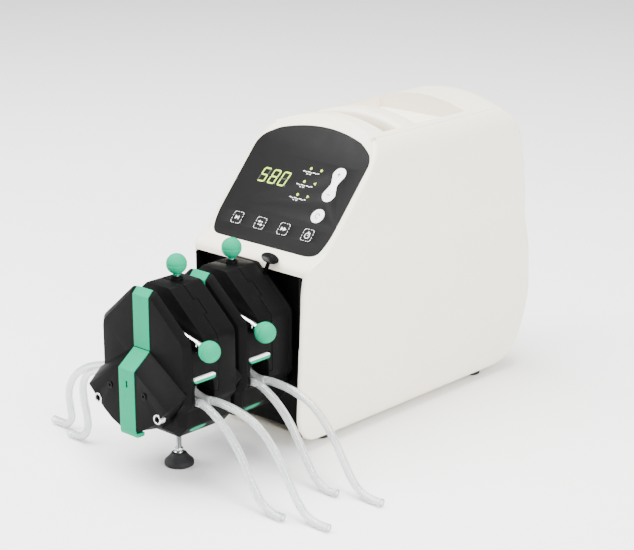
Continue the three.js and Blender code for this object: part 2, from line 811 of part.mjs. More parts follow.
const jawSolid = () => {
  const ring = headRing(0);
  const upper = box(-far, far, -far, far, jawBottom, far);
  let jaw = prism(ring, 1, coverThick + gap, seamY - gap / 2).intersect(upper);
  const tab = prism(ring, 1, seamY - 1, seamY + tabDeep)
    .intersect(box(tabX - tabHalf + gap, tabX + tabHalf - gap, -far, far, tabZ + gap, far));
  jaw = jaw.add(tab);
  const floor = pivotZ - camHigh - camClear;
  const slot = prism(
    [[-far, floor - 8], [-60, floor - 8], [-16, floor], [16, floor], [60, floor - 8],
      [far, floor - 8], [far, far], [-far, far]],
    1, 0, slotRear,
  );
  jaw = jaw.subtract(slot);
  jaw = jaw.subtract(bar(1, 0, 0, trackR, 0, seamY, 36));
  jaw = jaw.subtract(box(-trackR, trackR, 0, seamY, -far, 0));
  for (const side of [-1, 1]) {
    const [x0, x1] = side < 0 ? [-far, -20] : [20, far];
    const opening = rounded([
      [windowFront, windowTop],
      [windowRear, windowTop],
      [windowRear, -30],
      [windowFront, -30],
    ], [4, 4, 0, 0], 2);
    jaw = jaw.subtract(prism(opening, 0, x0, x1));
  }
  return jaw.subtract(box(
    headHalf - buttonPocketDepth, far,
    buttonY - buttonLength / 2 - gap, buttonY + buttonLength / 2 + gap,
    buttonZ - buttonHeight / 2 - gap, buttonZ + buttonHeight / 2 + gap,
  ));
};

const rotorSolid = () => {
  const cheekR = orbit + rollerR - 1;
  const cheek = 3;
  const back = rollerFront + rollerLength;
  let rotor = bar(1, 0, 0, shaftR, -shaftNose, headPitch - shaftNose - gap, 12);
  rotor = rotor.add(bar(1, 0, 0, 10, rollerFront - 1, back + 1, 16));
  rotor = rotor.add(bar(1, 0, 0, cheekR, rollerFront - gap - cheek, rollerFront - gap, 24));
  rotor = rotor.add(bar(1, 0, 0, cheekR, back + gap, back + gap + cheek, 24));
  for (let i = 0; i < rollerCount; i += 1) {
    const a = Math.PI / 2 + (i * 2 * Math.PI) / rollerCount;
    const pin = bar(1, orbit * Math.cos(a), orbit * Math.sin(a), 2, rollerFront - 1, back + 1, 10);
    rotor = rotor.add(pin);
  }
  return rotor;
};
const rollerSolid = (a) => {
  const x = orbit * Math.cos(a);
  const z = orbit * Math.sin(a);
  const back = rollerFront + rollerLength;
  return bar(1, x, z, rollerR, rollerFront, back, 20).subtract(bar(1, x, z, 2.3, 0, far, 10));
};

const leverLength = Math.hypot(leverReach, leverDrop);
const leverSolid = () => {
  const swing = THREE.MathUtils.degToRad(leverSwing);
  const points = [];
  const steps = 24;
  for (let i = 0; i < steps; i += 1) {
    const turn = (i * 2 * Math.PI) / steps;
    const rise = turn < swing
      ? turn / swing
      : (2 * Math.PI - turn) / (2 * Math.PI - swing);
    const r = camHigh - jawLift * rise;
    const a = -Math.PI / 2 - turn;
    points.push([r * Math.cos(a), pivotZ + r * Math.sin(a)]);
  }
  const hub = prism(points, 1, coverThick + 1.5, slotRear - 1.2);
  const stub = bar(1, 0, pivotZ, 3.5, 2.3, coverThick + 3, 14);
  const rod = new THREE.CylinderGeometry(rodR, rodR, leverLength - 6, 12);
  rod.rotateZ(Math.PI / 2);
  rod.translate((leverLength - 6) / 2 + 2, 0, 0);
  rod.rotateY(Math.atan2(leverDrop, leverReach));
  rod.translate(0, leverY, pivotZ);
  return hub.add(stub).add(toSolid(rod));
};
const ballSolid = () => {
  const ball = new THREE.SphereGeometry(leverBallR, 14, 8);
  const bore = new THREE.CylinderGeometry(rodR + gap, rodR + gap, leverBallR + 6, 12);
  bore.rotateZ(Math.PI / 2);
  bore.translate(-(leverBallR + 6) / 2 - 3.5, 0, 0);
  bore.rotateY(Math.atan2(leverDrop, leverReach));
  return toSolid(ball).subtract(toSolid(bore)).translate(leverReach, leverY, pivotZ - leverDrop);
};
const pinSolid = () => {
  const profile = [[0, headTop - 19], [pinR, headTop - 19]];
  const neck = Math.asin(pinR / pinBallR);
  for (let i = 0; i <= 8; i += 1) {
    const a = neck + ((Math.PI - neck) * i) / 8;
    profile.push([pinBallR * Math.sin(a), pinBallZ - pinBallR * Math.cos(a)]);
  }
  profile[profile.length - 1][0] = 0;
  const geometry = turned(profile, 14);
  geometry.translate(0, pinY, 0);
  return toSolid(geometry);
};
const buttonSolid = () => {
  const r = buttonHeight / 2;
  const l = buttonLength / 2;
  const outline = rounded([
    [buttonY - l, buttonZ - r], [buttonY + l, buttonZ - r],
    [buttonY + l, buttonZ + r], [buttonY - l, buttonZ + r],
  ], r * 0.95, 3);
  return prism(outline, 0, headHalf - buttonSunk, headHalf + buttonProud);
};

const shared = {
  head_housing: [housingSolid(), black],
  head_cover: [coverSolidOf(), black],
  cover_stripe: [coverStripe, teal],
  lower_cap: [capSolidOf(), black],
  head_jaw: [jawSolid(), black],
  lever: [leverSolid(), steel],
  lever_ball: [ballSolid(), teal],
  lock_pin: [pinSolid(), teal],
  clamp_button: [buttonSolid(), teal],
  rotor: [rotorSolid(), steel],
};
for (let i = 0; i < rollerCount; i += 1) {
  const a = Math.PI / 2 + (i * 2 * Math.PI) / rollerCount;
  shared[`roller_${i + 1}`] = [rollerSolid(a), white];
}
const heads = { front: frontCoverY, rear: frontCoverY + headPitch };
for (const [name, y] of Object.entries(heads)) {
  const head = new THREE.Group();
  head.position.set(0, y, axisZ);
  pump.add(head);
  for (const [part, [solid, material]] of Object.entries(shared)) {
    addMesh(head, `${name}_${part}`, solid, material);
  }
  if (name === 'front') addMesh(head, 'cap_stripe', capStripeSolid(), teal);
}

// adapter flange between the rear head and the black panel
const flangeFront = heads.rear + headDepth + gap;
const bearingSeatFrom = 8;
const flangeSolid = () => {
  const plate = prism(headRing(0), 1, 0, flangePlate);
  const boss = prism(headRing(9), 1, 0, blackPanelY - gap - flangeFront);
  const spigot = capForm(-0.4, 3).translate(0, headPitch - headDepth - gap, 0);
  const flange = plate.add(boss).add(spigot);
  const bearingSeat = bar(1, 0, 0, bearingR + 1, bearingSeatFrom, far, 16);
  const shaftHole = bar(1, 0, 0, shaftR + 0.6, -far, far, 16);
  return flange.subtract(bearingSeat).subtract(shaftHole).subtract(boltHoles(-far, far));
};

// mushroom-headed plunger that releases the heads
const knobLean = 24;
const knobAt = [30, noseY - 3, panelZ - 1.7];
const knobR = 8;
const plungerR = 1.8;
const leaned = (geometry) => {
  geometry.rotateY(THREE.MathUtils.degToRad(knobLean));
  geometry.translate(...knobAt);
  return toSolid(geometry);
};
const knobSolid = leaned(turned([
  [0, -28], [plungerR, -28], [plungerR, -3], [knobR - 2.5, -1.5], [knobR, -0.5], [knobR, 0.6],
  [knobR - 3, 1.5], [0, 1.9],
], 20));
const knobBore = leaned(turned([[0, -60], [plungerR + gap, -60], [plungerR + gap, 40], [0, 40]], 12));
const flange = new THREE.Group();
flange.position.set(0, flangeFront, axisZ);
pump.add(flange);
const flangeBored = flangeSolid().subtract(knobBore.translate(0, -flangeFront, -axisZ));
addMesh(flange, 'adapter_flange', flangeBored, black);
addMesh(pump, 'release_knob', knobSolid, black);

// tie bolts through both heads into the flange
for (const [hand, x] of [['left', -boltX], ['right', boltX]]) {
  const face = frontCoverY - capDepth;
  let bolt = bar(1, x, axisZ + boltZ, boltHeadR, face - 0.6, face + boltHeadHeight - gap, 16);
  bolt = bolt.add(bar(1, x, axisZ + boltZ, boltR, face + 3, blackPanelY - 3, 10));
  bolt = bolt.subtract(bar(1, x, axisZ + boltZ, 2, face - 2, face + 2.6, 6));
  addMesh(pump, `${hand}_tie_bolt`, bolt, steel);
}

// levelling foot under the front head
const legWorldY = frontCoverY + legY;
const nutR = 4.6;
const nutBottom = 9;
const nutTop = 13;
const stemTop = axisZ + headBottom + 15;
const stem = turned([
  [0, nutBottom], [nutR, nutBottom], [nutR, nutTop], [legR, nutTop + 0.6], [legR, stemTop], [0, stemTop],
], 16);
stem.translate(0, legWorldY, 0);
addMesh(pump, 'levelling_stem', stem, steel);
const padTop = 11.5;
const padBore = nutR + gap + 0.1;
const padFloor = nutBottom - gap - 0.1;
const pad = turned([
  [0, 0], [padR - 1, 0], [padR, 1.5], [padR, 3.5], [padBore + 1.5, padTop],
  [padBore, padTop], [padBore, padFloor], [0, padFloor],
], 20);
pad.translate(0, legWorldY, 0);
addMesh(pump, 'levelling_pad', pad, rubber);

// ---------------------------------------------------------------- tubing
const archPoint = (a) => [tubeBendR * Math.cos(a), tubeBendR * Math.sin(a)];
const tails = {
  a: {
    right: [[58, -12.6], [70, -17.5], [86, -29], [97, -41], [106, -54], [115, -68], [124, -79.5],
      [136, -85.2], [148, -85.9]],
    left: [[-60, -12.6], [-78, -16.5], [-90, -23], [-96, -34], [-96, -47], [-93, -60], [-92, -73],
      [-97, -82.5], [-107, -85.9], [-118, -85.9]],
  },
  b: {
    right: [[66, -11.7], [89, -14], [109, -20.5], [124, -32], [135, -45], [145, -60], [155, -74.5],
      [165, -83.2], [176, -85.9], [188, -85.9]],
    left: [[-66, -12.2], [-90, -17.5], [-108, -25.5], [-123, -38], [-130, -52], [-129, -67], [-128, -78],
      [-133, -84.6], [-143, -85.9], [-153, -85.9]],
  },
};
const routeOf = (y, { right, left }) => {
  const points = [];
  const add = (x, z) => points.push(new THREE.Vector3(x, y, axisZ + z));
  for (const [x, z] of left.slice().reverse()) add(x, z);
  const bendX = tubeBendR + exitDrop;
  for (const t of [90, 45]) {
    const a = THREE.MathUtils.degToRad(t);
    add(-bendX + exitDrop * Math.cos(a), -exitDrop * Math.sin(a));
  }
  for (let t = 180; t >= 0; t -= 22.5) add(...archPoint(THREE.MathUtils.degToRad(t)));
  for (const t of [45, 90]) {
    const a = THREE.MathUtils.degToRad(t);
    add(bendX - exitDrop * Math.cos(a), -exitDrop * Math.sin(a));
  }
  for (const [x, z] of right) add(x, z);
  return new THREE.CatmullRomCurve3(points, false, 'centripetal');
};
const tubeSides = 8;
const tubeSteps = 44;
const tubeSection = new THREE.Shape();
for (let i = 0; i < tubeSides; i += 1) {
  const a = ((i + 0.5) * 2 * Math.PI) / tubeSides;
  const x = tubeR * Math.cos(a);
  const y = tubeR * Math.sin(a);
  if (i === 0) tubeSection.moveTo(x, y);
  else tubeSection.lineTo(x, y);
}
tubeSection.closePath();
const tubing = new THREE.Group();
pump.add(tubing);
for (const [name, y] of Object.entries(heads)) {
  for (const [i, letter] of ['a', 'b'].entries()) {
    const extrudePath = routeOf(y + channels[i], tails[letter]);
    const geometry = new THREE.ExtrudeGeometry(tubeSection, { steps: tubeSteps, extrudePath });
    addMesh(tubing, `${name}_tube_${letter}`, toSolid(geometry), silicone);
  }
}

// the origin is under the middle of the pump, tubing apart
const hardware = new THREE.Box3();
pump.updateMatrixWorld(true);
pump.traverse((part) => {
  if (part.isMesh && part.parent !== tubing) hardware.expandByObject(part);
});
const centre = hardware.getCenter(new THREE.Vector3());
pump.position.set(-centre.x, -centre.y, -hardware.min.z);
pump.updateMatrixWorld(true);

export default pump;
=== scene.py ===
import json
import math

import bmesh
import bpy
import numpy as np
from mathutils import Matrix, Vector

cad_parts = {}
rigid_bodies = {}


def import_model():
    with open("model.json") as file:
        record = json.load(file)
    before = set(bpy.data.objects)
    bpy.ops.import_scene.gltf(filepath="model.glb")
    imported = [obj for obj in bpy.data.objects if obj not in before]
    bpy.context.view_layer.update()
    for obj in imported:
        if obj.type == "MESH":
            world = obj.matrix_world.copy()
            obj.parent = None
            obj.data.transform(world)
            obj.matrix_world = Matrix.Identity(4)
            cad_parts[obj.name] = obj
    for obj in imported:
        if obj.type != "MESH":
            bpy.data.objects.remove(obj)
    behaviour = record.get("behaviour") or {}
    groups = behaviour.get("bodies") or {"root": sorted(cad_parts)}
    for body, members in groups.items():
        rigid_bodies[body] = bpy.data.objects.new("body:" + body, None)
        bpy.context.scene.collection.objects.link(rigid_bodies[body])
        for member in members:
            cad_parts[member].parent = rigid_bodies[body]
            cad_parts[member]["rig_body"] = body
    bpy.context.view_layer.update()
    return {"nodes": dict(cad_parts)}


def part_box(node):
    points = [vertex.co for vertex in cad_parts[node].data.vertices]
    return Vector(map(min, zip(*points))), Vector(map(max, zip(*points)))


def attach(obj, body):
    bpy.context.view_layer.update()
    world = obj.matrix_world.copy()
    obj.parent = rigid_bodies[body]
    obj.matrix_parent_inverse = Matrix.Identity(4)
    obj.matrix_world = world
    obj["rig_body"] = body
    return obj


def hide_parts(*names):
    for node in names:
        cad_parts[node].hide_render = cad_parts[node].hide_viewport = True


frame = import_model()

# ---------------------------------------------------------------- camera, floor and studio lights
# The pump stands on a plain pale bench under soft studio boxes. Sizes in this file are in millimetres
# unless it says metres, from the middle of the pump heads, the gear motor's mounting line and the bench.
cover_low, cover_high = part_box("front_head_cover")
FRONT_FACE = 230.0  # the front head's cover is this far ahead of the mounting line
ORIGIN = np.array([(cover_low.x + cover_high.x) / 2, cover_low.y + FRONT_FACE / 1000, 0.0])


def in_frame(points):
    """Millimetres on the pump to metres in the frame: divide by a thousand and add the origin."""
    return np.asarray(points, float) / 1000 + ORIGIN


def linear(hex_colour):
    """An sRGB hex colour as linear RGBA: ((c + 0.055) / 1.055) to the power 2.4 above 0.04045."""
    c = np.array([int(hex_colour[i:i + 2], 16) for i in (1, 3, 5)]) / 255
    c = np.where(c > 0.04045, ((c + 0.055) / 1.055) ** 2.4, c / 12.92)
    return (*c, 1.0)


def add(tree, kind, settings=None, **sockets):
    """Adds one shader node: settings are its properties, sockets its inputs as values or outputs."""
    node = tree.nodes.new("ShaderNode" + kind)
    for key, value in (settings or {}).items():
        setattr(node, key, value)
    for key, value in sockets.items():
        socket = node.inputs[key.replace("_", " ")]
        if isinstance(value, bpy.types.NodeSocket):
            tree.links.new(value, socket)
        else:
            socket.default_value = value
    return node


def empty_material(name):
    """A material with nothing in its tree but an output node."""
    material = bpy.data.materials.new(name)
    material.use_nodes = True
    tree = material.node_tree
    tree.nodes.clear()
    return material, tree, add(tree, "OutputMaterial")


CAMERA_AT = (1067.957, -1171.740, 625.861)
CAMERA_RISE = 17.43
CAMERA_TURN = 42.7
camera_data = bpy.data.cameras.new("camera")
camera_data.sensor_width = 36
camera_data.lens = 102.2
camera_data.clip_end = 50
camera = bpy.data.objects.new("camera", camera_data)
camera.location = in_frame(CAMERA_AT)
camera.rotation_euler = (math.radians(90 - CAMERA_RISE), 0, math.radians(CAMERA_TURN))
bpy.context.scene.collection.objects.link(camera)
bpy.context.scene.camera = camera

# white laminate bench: even, very slightly mottled, dull
bench_white, tree, out = empty_material("white_laminate_bench")
spot = add(tree, "TexCoord").outputs["Object"]
haze = add(tree, "TexNoise", Vector=spot, Scale=4.0, Detail=3.0)
tone = add(tree, "MixRGB", Fac=haze.outputs["Fac"], Color1=linear("#FCFCFB"), Color2=linear("#F8F8F7"))
shader = add(tree, "BsdfPrincipled", Base_Color=tone.outputs["Color"], Roughness=0.75)
shader.inputs["Specular IOR Level"].default_value = 0.1
tree.links.new(shader.outputs["BSDF"], out.inputs["Surface"])
bench_half = 6.0
bench_mesh = bpy.data.meshes.new("bench")
bench_mesh.from_pydata(
    [(x, y, -0.0002) for x, y in ((-bench_half, -bench_half), (bench_half, -bench_half),
                                  (bench_half, bench_half), (-bench_half, bench_half))],
    [], [(0, 1, 2, 3)])
bench = bpy.data.objects.new("bench", bench_mesh)
bench_mesh.materials.append(bench_white)
bpy.context.scene.collection.objects.link(bench)

world = bpy.data.worlds.new("studio")
world.use_nodes = True
bpy.context.scene.world = world
world.node_tree.nodes["Background"].inputs["Color"].default_value = (1.0, 1.0, 1.0, 1.0)
world.node_tree.nodes["Background"].inputs["Strength"].default_value = 0.75
# name, place (m), aimed at (m), width and height (m), power (W)
studio_boxes = (
    ("overhead_box", (-0.3, -0.3, 2.2), (0.0, 0.0, 0.1), 2.2, 2.2, 210),
    ("left_box", (-1.6, -1.7, 1.3), (0.0, -0.1, 0.12), 1.2, 1.2, 50),
    ("right_strip", (1.9, -0.5, 1.1), (0.0, -0.1, 0.12), 0.8, 1.6, 82),
)
for name, place, aim, width, height, power in studio_boxes:
    light = bpy.data.lights.new(name, "AREA")
    light.shape = "RECTANGLE"
    light.size = width
    light.size_y = height
    light.energy = power
    lamp = bpy.data.objects.new(name, light)
    lamp.location = place
    way = np.array(aim) - np.array(place)
    reach = float(np.hypot(way[0], way[1]))
    lamp.rotation_euler = (math.atan2(reach, -way[2]), 0, math.atan2(-way[0], way[1]))
    bpy.context.scene.collection.objects.link(lamp)

# ---------------------------------------------------------------- silicone tubing
# Four lengths of clear silicone tube, extruded, 7 mm outside and 4.6 mm inside, cut off square.
# Each runs over its head's rollers and comes out at both sides to lie on the bench.
AXIS_Z = 90.0
HEADS = {"front": -230.0, "rear": -165.0}
TUBE_R = 3.5
BORE_R = 2.2
BEND_R = 31.1
EXIT_DROP = 12.0
HEAD_HALF = 54.0
channel_depth = {"a": 14.5, "b": 25.5}
tails = {
    "a": {
        "right": [(58, -12.6), (70, -17.5), (86, -29), (97, -41), (106, -54), (115, -68), (124, -79.5),
                  (136, -85.2), (148, -85.9)],
        "left": [(-60, -12.6), (-78, -16.5), (-90, -23), (-96, -34), (-96, -47), (-93, -60), (-92, -73),
                 (-97, -82.5), (-107, -85.9), (-118, -85.9)],
    },
    "b": {
        "right": [(66, -11.7), (89, -14), (109, -20.5), (124, -32), (135, -45), (145, -60), (155, -74.5),
                  (165, -83.2), (176, -85.9), (188, -85.9)],
        "left": [(-66, -12.2), (-90, -17.5), (-108, -25.5), (-123, -38), (-130, -52), (-129, -67),
                 (-128, -78), (-133, -84.6), (-143, -85.9), (-153, -85.9)],
    },
}


def silicone():
    """Translucent silicone: soft milky body, glossy skin, faint die lines along its length."""
    material, tree, out = empty_material("clear_extruded_silicone")
    spot = add(tree, "TexCoord").outputs["Object"]
    clouds = add(tree, "TexNoise", Vector=spot, Scale=60.0, Detail=3.0)
    tone = add(tree, "MixRGB", Fac=clouds.outputs["Fac"], Color1=linear("#F6F8F8"), Color2=linear("#EDF0F0"))
    lines = add(tree, "TexNoise", Vector=spot, Scale=900.0, Detail=2.0)
    skin = add(tree, "Bump", Height=lines.outputs["Fac"], Strength=0.25, Distance=0.0001)
    shader = add(tree, "BsdfPrincipled", Base_Color=tone.outputs["Color"], Roughness=0.1, IOR=1.41,
                 Normal=skin.outputs["Normal"])
    shader.inputs["Transmission Weight"].default_value = 0.8
    tree.links.new(shader.outputs["BSDF"], out.inputs["Surface"])
    return material


def smooth_line(points, step):
    """Cubic Hermite curve through points: tangents from chord-length differences, sampled every step."""
    p = np.asarray(points, float)
    chord = np.hypot(*np.diff(p, axis=0).T)
    s = np.concatenate([[0], np.cumsum(chord)])
    slope = np.gradient(p, s, axis=0)
    t = np.linspace(0, s[-1], int(s[-1] / step) + 1)
    i = np.clip(np.searchsorted(s, t, side="right") - 1, 0, len(s) - 2)
    h = (s[i + 1] - s[i])[:, None]
    u = ((t - s[i]) / h[:, 0])[:, None]
    return ((2 * u**3 - 3 * u**2 + 1) * p[i] + (u**3 - 2 * u**2 + u) * h * slope[i]
            + (3 * u**2 - 2 * u**3) * p[i + 1] + (u**3 - u**2) * h * slope[i + 1])


def tube_route(letter):
    """The line of one tube in X and Z: left tail, bend, half circle over the rollers, bend, right tail."""
    turn = np.radians([90, 45])
    bend = BEND_R + EXIT_DROP
    left = np.column_stack([-bend + EXIT_DROP * np.cos(turn), -EXIT_DROP * np.sin(turn)])
    over = np.radians(np.arange(180, -1, -22.5))
    arch = np.column_stack([BEND_R * np.cos(over), BEND_R * np.sin(over)])
    right = (left * [-1, 1])[::-1]
    ends = tails[letter]
    line = np.vstack([ends["left"][::-1], left, arch, right, ends["right"]])
    return smooth_line(line, 2.0)


def grid_faces(rows, columns, close_rows=False, close_columns=False):
    """Quads over a grid of points numbered row by row, joined round where a side closes on itself."""
    r = np.arange(rows if close_rows else rows - 1)
    c = np.arange(columns if close_columns else columns - 1)
    r, c = np.meshgrid(r, c, indexing="ij")
    r, c = r.ravel(), c.ravel()
    r1, c1 = (r + 1) % rows, (c + 1) % columns
    return np.column_stack([r * columns + c, r1 * columns + c, r1 * columns + c1, r * columns + c1])


def make(name, points, faces, finish, body, slot, sharp=40.0, solid=True, hides=()):
    """A piece from points in mm and faces: doubles merged, faces outward on a solid, then it rides."""
    mesh = bpy.data.meshes.new(name)
    mesh.from_pydata(in_frame(points).tolist(), [], [list(map(int, f)) for f in faces])
    work = bmesh.new()
    work.from_mesh(mesh)
    bmesh.ops.remove_doubles(work, verts=work.verts, dist=2e-6)
    if solid:
        bmesh.ops.recalc_face_normals(work, faces=work.faces)
    work.to_mesh(mesh)
    work.free()
    mesh.shade_smooth()
    mesh.set_sharp_from_angle(angle=math.radians(sharp))
    mesh.materials.append(finish)
    thing = bpy.data.objects.new(name, mesh)
    bpy.context.scene.collection.objects.link(thing)
    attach(thing, body)
    if hides:
        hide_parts(*hides)
    return thing


def tube_piece(name, line, y, node):
    """A pipe along a line in X and Z: rings in the plane of the line's normal and the Y axis."""
    way = np.gradient(line, axis=0)
    way /= np.hypot(way[:, 0], way[:, 1])[:, None]
    a = np.linspace(0, 2 * np.pi, TUBE_SIDES, endpoint=False)

    def ring(radius, rows):
        x = line[rows, 0, None] - way[rows, 1, None] * radius * np.cos(a)
        z = line[rows, 1, None] + way[rows, 0, None] * radius * np.cos(a)
        return np.stack([x, np.full_like(x, y) + radius * np.sin(a), AXIS_Z + z], axis=-1)

    rows = np.arange(len(line))
    points = np.concatenate([ring(TUBE_R, rows), ring(BORE_R, rows[::-1])]).reshape(-1, 3)
    return make(name, points, grid_faces(2 * len(line), TUBE_SIDES, True, True), tube_finish, ROOT,
                "silicone_tube", hides=(node,))


tube_finish = silicone()
ROOT = "pump_frame"
TUBE_SIDES = 20
for head, face_y in HEADS.items():
    for letter, depth in channel_depth.items():
        node = f"{head}_tube_{letter}"
        route = tube_route(letter)
        y = face_y + depth
        for part, chosen in (("left", route[:, 0] < -HEAD_HALF), ("right", route[:, 0] > HEAD_HALF)):
            line = route[chosen]
            line = line[::-1] if part == "left" else line
            tube = tube_piece(f"{node}_{part}_tail", line, y, node)
            path = in_frame(np.column_stack([line[:, 0], np.full(len(line), y), AXIS_Z + line[:, 1]]))
            length = float(np.sum(np.linalg.norm(np.diff(path, axis=0), axis=1)))
        tube_piece(f"{node}_in_head", route[np.abs(route[:, 0]) <= HEAD_HALF], y, node)

# ---------------------------------------------------------------- drive casing
# Injection-moulded ABS in warm white, 3 mm thick: two side shells that carry the corners, a top cover
# with the key panel's frame and the handle well, and a rear cover. All meet at fine open seams.
WALL = 3.0
NOSE_Y = -103.6
PANEL_Y, PANEL_Z, PANEL_LEAN = -85.7, 176.0, math.radians(41.5)
REAR_Y = 225.8
SEAM_Z = 265.0
CROWN = 13.0
SEAM_HALF = 62.0
SHELL_LAP = 3.8
CORNER_R = 4.0
LIP_BOTTOM = 163.0
CROWN_FROM = 205.0
SHELL_END = SEAM_HALF - SHELL_LAP + 0.2
SLOPE = math.tan(PANEL_LEAN)
front_table = np.array([
    (7.5, NOSE_Y + 19.6), (9.4, NOSE_Y + 11.6), (14.8, NOSE_Y + 2.6), (22, NOSE_Y - 2.9),
    (32.5, NOSE_Y - 5.4), (126, NOSE_Y - 1.2), (150, NOSE_Y - 0.4), (163, NOSE_Y), (168, NOSE_Y + 1),
    (171.5, NOSE_Y + 4.6), (174.5, NOSE_Y + 11.1), (178, PANEL_Y + 2 * SLOPE), (320, PANEL_Y + 144 * SLOPE)])
rear_table = np.array([
    (7.5, REAR_Y - 50), (9.7, REAR_Y - 46), (18.3, REAR_Y - 26.7), (31.2, REAR_Y - 15.9), (55, REAR_Y - 5.5),
    (74.6, REAR_Y), (95.6, REAR_Y - 0.4), (127.2, REAR_Y - 3.1), (154.4, REAR_Y - 12.3),
    (183.5, REAR_Y - 20.5), (210, REAR_Y - 24.8), (243, REAR_Y - 32), (257, REAR_Y - 37), (262, REAR_Y - 41),
    (265, REAR_Y - 48)])
half_table = np.array([
    (7.5, 61), (9.4, 64.8), (14.8, 67), (126, 67), (150, 67.8), (163, 69.4), (171.5, 71.6), (183.5, 73.4),
    (200, 74), (236, 74), (246, 73), (254, 70.5), (260, 67), (265, SEAM_HALF)])


def eased(table, z, reach):
    """A line through a table of heights and values, its corners eased by averaging over +-reach mm."""
    shifts = np.linspace(-reach, reach, 7)
    low, high = table[0, 0], table[-1, 0]
    near = np.minimum(1.0, np.minimum(np.abs(z - low), np.abs(high - z)) / reach)
    return np.mean([np.interp(z + s * near, table[:, 0], table[:, 1]) for s in shifts], axis=0)


def front_at(z):
    """Front edge of the casing at a height."""
    return eased(front_table, z, 1.5)


def rear_at(z):
    """Rear edge of the casing at a height."""
    return eased(rear_table, z, 4.0)


def half_at(z):
    """Half width of the casing at a height."""
    return eased(half_table, z, 3.0)


def crown_at(x):
    """Rise of the top over its edge: a parabola across the width."""
    return CROWN * (1 - np.minimum(1, np.abs(x) / SEAM_HALF) ** 2)


def crown_share(z):
    """How much of the crown shows at a height: a smooth step from nothing to all at the top seam."""
    t = np.clip((z - CROWN_FROM) / (SEAM_Z - CROWN_FROM), 0, 1)
    return t * t * (3 - 2 * t)


def moulded(name, colour, shade, roughness, grain, relief, coat=0.0, patch=60.0, shine=0.5):
    """Moulded plastic: colour drifts to shade in patches of patch mm; grain mm texture, relief mm deep."""
    material, tree, out = empty_material(name)
    spot = add(tree, "TexCoord").outputs["Object"]
    patches = add(tree, "TexNoise", Vector=spot, Scale=1000 / patch, Detail=5.0, Roughness=0.6)
    tone = add(tree, "MixRGB", Fac=patches.outputs["Fac"], Color1=linear(colour), Color2=linear(shade))
    rubbed = add(tree, "TexNoise", Vector=spot, Scale=6000 / patch, Detail=6.0, Roughness=0.7)
    gloss = add(tree, "MapRange", Value=rubbed.outputs["Fac"], From_Min=0.3, From_Max=0.7,
                To_Min=roughness - 0.06, To_Max=roughness + 0.08)
    texture = add(tree, "TexNoise", Vector=spot, Scale=1000 / grain, Detail=2.0)
    skin = add(tree, "Bump", Height=texture.outputs["Fac"], Strength=0.6, Distance=relief / 1000)
    shader = add(tree, "BsdfPrincipled", Base_Color=tone.outputs["Color"], Roughness=gloss.outputs["Result"],
                 IOR=1.53, Normal=skin.outputs["Normal"])
    shader.inputs["Specular IOR Level"].default_value = shine
    if coat:
        shader.inputs["Coat Weight"].default_value = coat
        shader.inputs["Coat Roughness"].default_value = 0.12
    tree.links.new(shader.outputs["BSDF"], out.inputs["Surface"])
    return material


# spark-eroded mould texture, about 0.8 mm grain so that it shows, satin, slightly warm
white_abs = moulded("warm_white_abs", "#F2EADB", "#EBE1CE", 0.42, 0.8, 0.012)


def applied(thing, shade_again=True):
    """Turns a piece's modifiers into its mesh, and finds its shading edges again unless told not to."""
    view = bpy.context.evaluated_depsgraph_get()
    mesh = bpy.data.meshes.new_from_object(thing.evaluated_get(view))
    thing.modifiers.clear()
    thing.data = mesh
    if shade_again:
        mesh.shade_smooth()
        mesh.set_sharp_from_angle(angle=math.radians(40))


def walled(thing, thickness):
    """Gives a sheet its wall, inwards from its outer face."""
    wall = thing.modifiers.new("wall", "SOLIDIFY")
    wall.thickness = thickness / 1000
    wall.offset = -1
    applied(thing)


shell_rows = np.unique(np.concatenate([np.linspace(7.5, 20, 12), np.linspace(20, 236, 60),
                                       np.linspace(236, SEAM_Z, 16)]))
corner = np.linspace(0, math.radians(87), 9)


def side_shell(hand):
    """Sheet over height rows and columns that run front seam, front corner, flank, rear corner, rear seam."""
    z = shell_rows[:, None]
    half = half_at(shell_rows)[:, None]
    flank = np.linspace(0, 1, 22)[1:-1]
    front, rear = front_at(shell_rows)[:, None], rear_at(shell_rows)[:, None]
    x = np.hstack([half - CORNER_R * (1 - np.cos(corner[::-1])), half + 0 * flank,
                   half - CORNER_R * (1 - np.cos(corner))])
    first, last = front + CORNER_R, rear - CORNER_R
    y = np.hstack([front + CORNER_R * (1 - np.sin(corner[::-1])), first + (last - first) * flank,
                   rear - CORNER_R * (1 - np.sin(corner))])
    height = z + crown_at(x) * crown_share(z)
    slope_gap = front_at(height) - front
    y = y + slope_gap * np.clip((last - y) / (last - first), 0, 1)
    rolled = np.linspace(0, 1, 4)[1:, None]
    x_top = x[-1] - rolled * (x[-1] - SHELL_END) * (x[-1] > SHELL_END)
    y_top = np.repeat(y[-1:], 3, axis=0)
    z_top = SEAM_Z + crown_at(x_top)
    grid = np.stack([np.vstack([hand * x, hand * x_top]), np.vstack([y, y_top]),
                     np.vstack([height, z_top])], axis=-1)
    faces = grid_faces(*grid.shape[:2])
    return grid.reshape(-1, 3), faces if hand < 0 else faces[:, ::-1]


for hand, name in ((-1, "left_side_shell"), (1, "right_side_shell")):
    points, faces = side_shell(hand)
    shell = make(f"{name}_moulding", points, faces, white_abs, ROOT, "cream_plastic", solid=False,
                 hides=(name,))
    walled(shell, WALL)

WELL_HALF, WELL_FRONT, WELL_REAR, WELL_FLOOR = 52.0, 16.0, 132.0, 222.0
GRIP_FRONT, GRIP_DEPTH, GRIP_HEIGHT = 39.0, 26.0, 16.0
REAR_SPLIT = 243.0
TOP_WALL = 2.8
cover_inset = SHELL_LAP + 0.25
well_edge = WELL_HALF / (SEAM_HALF - cover_inset)
across = np.unique(np.concatenate([np.linspace(-1, 1, 33), [-well_edge, well_edge]]))


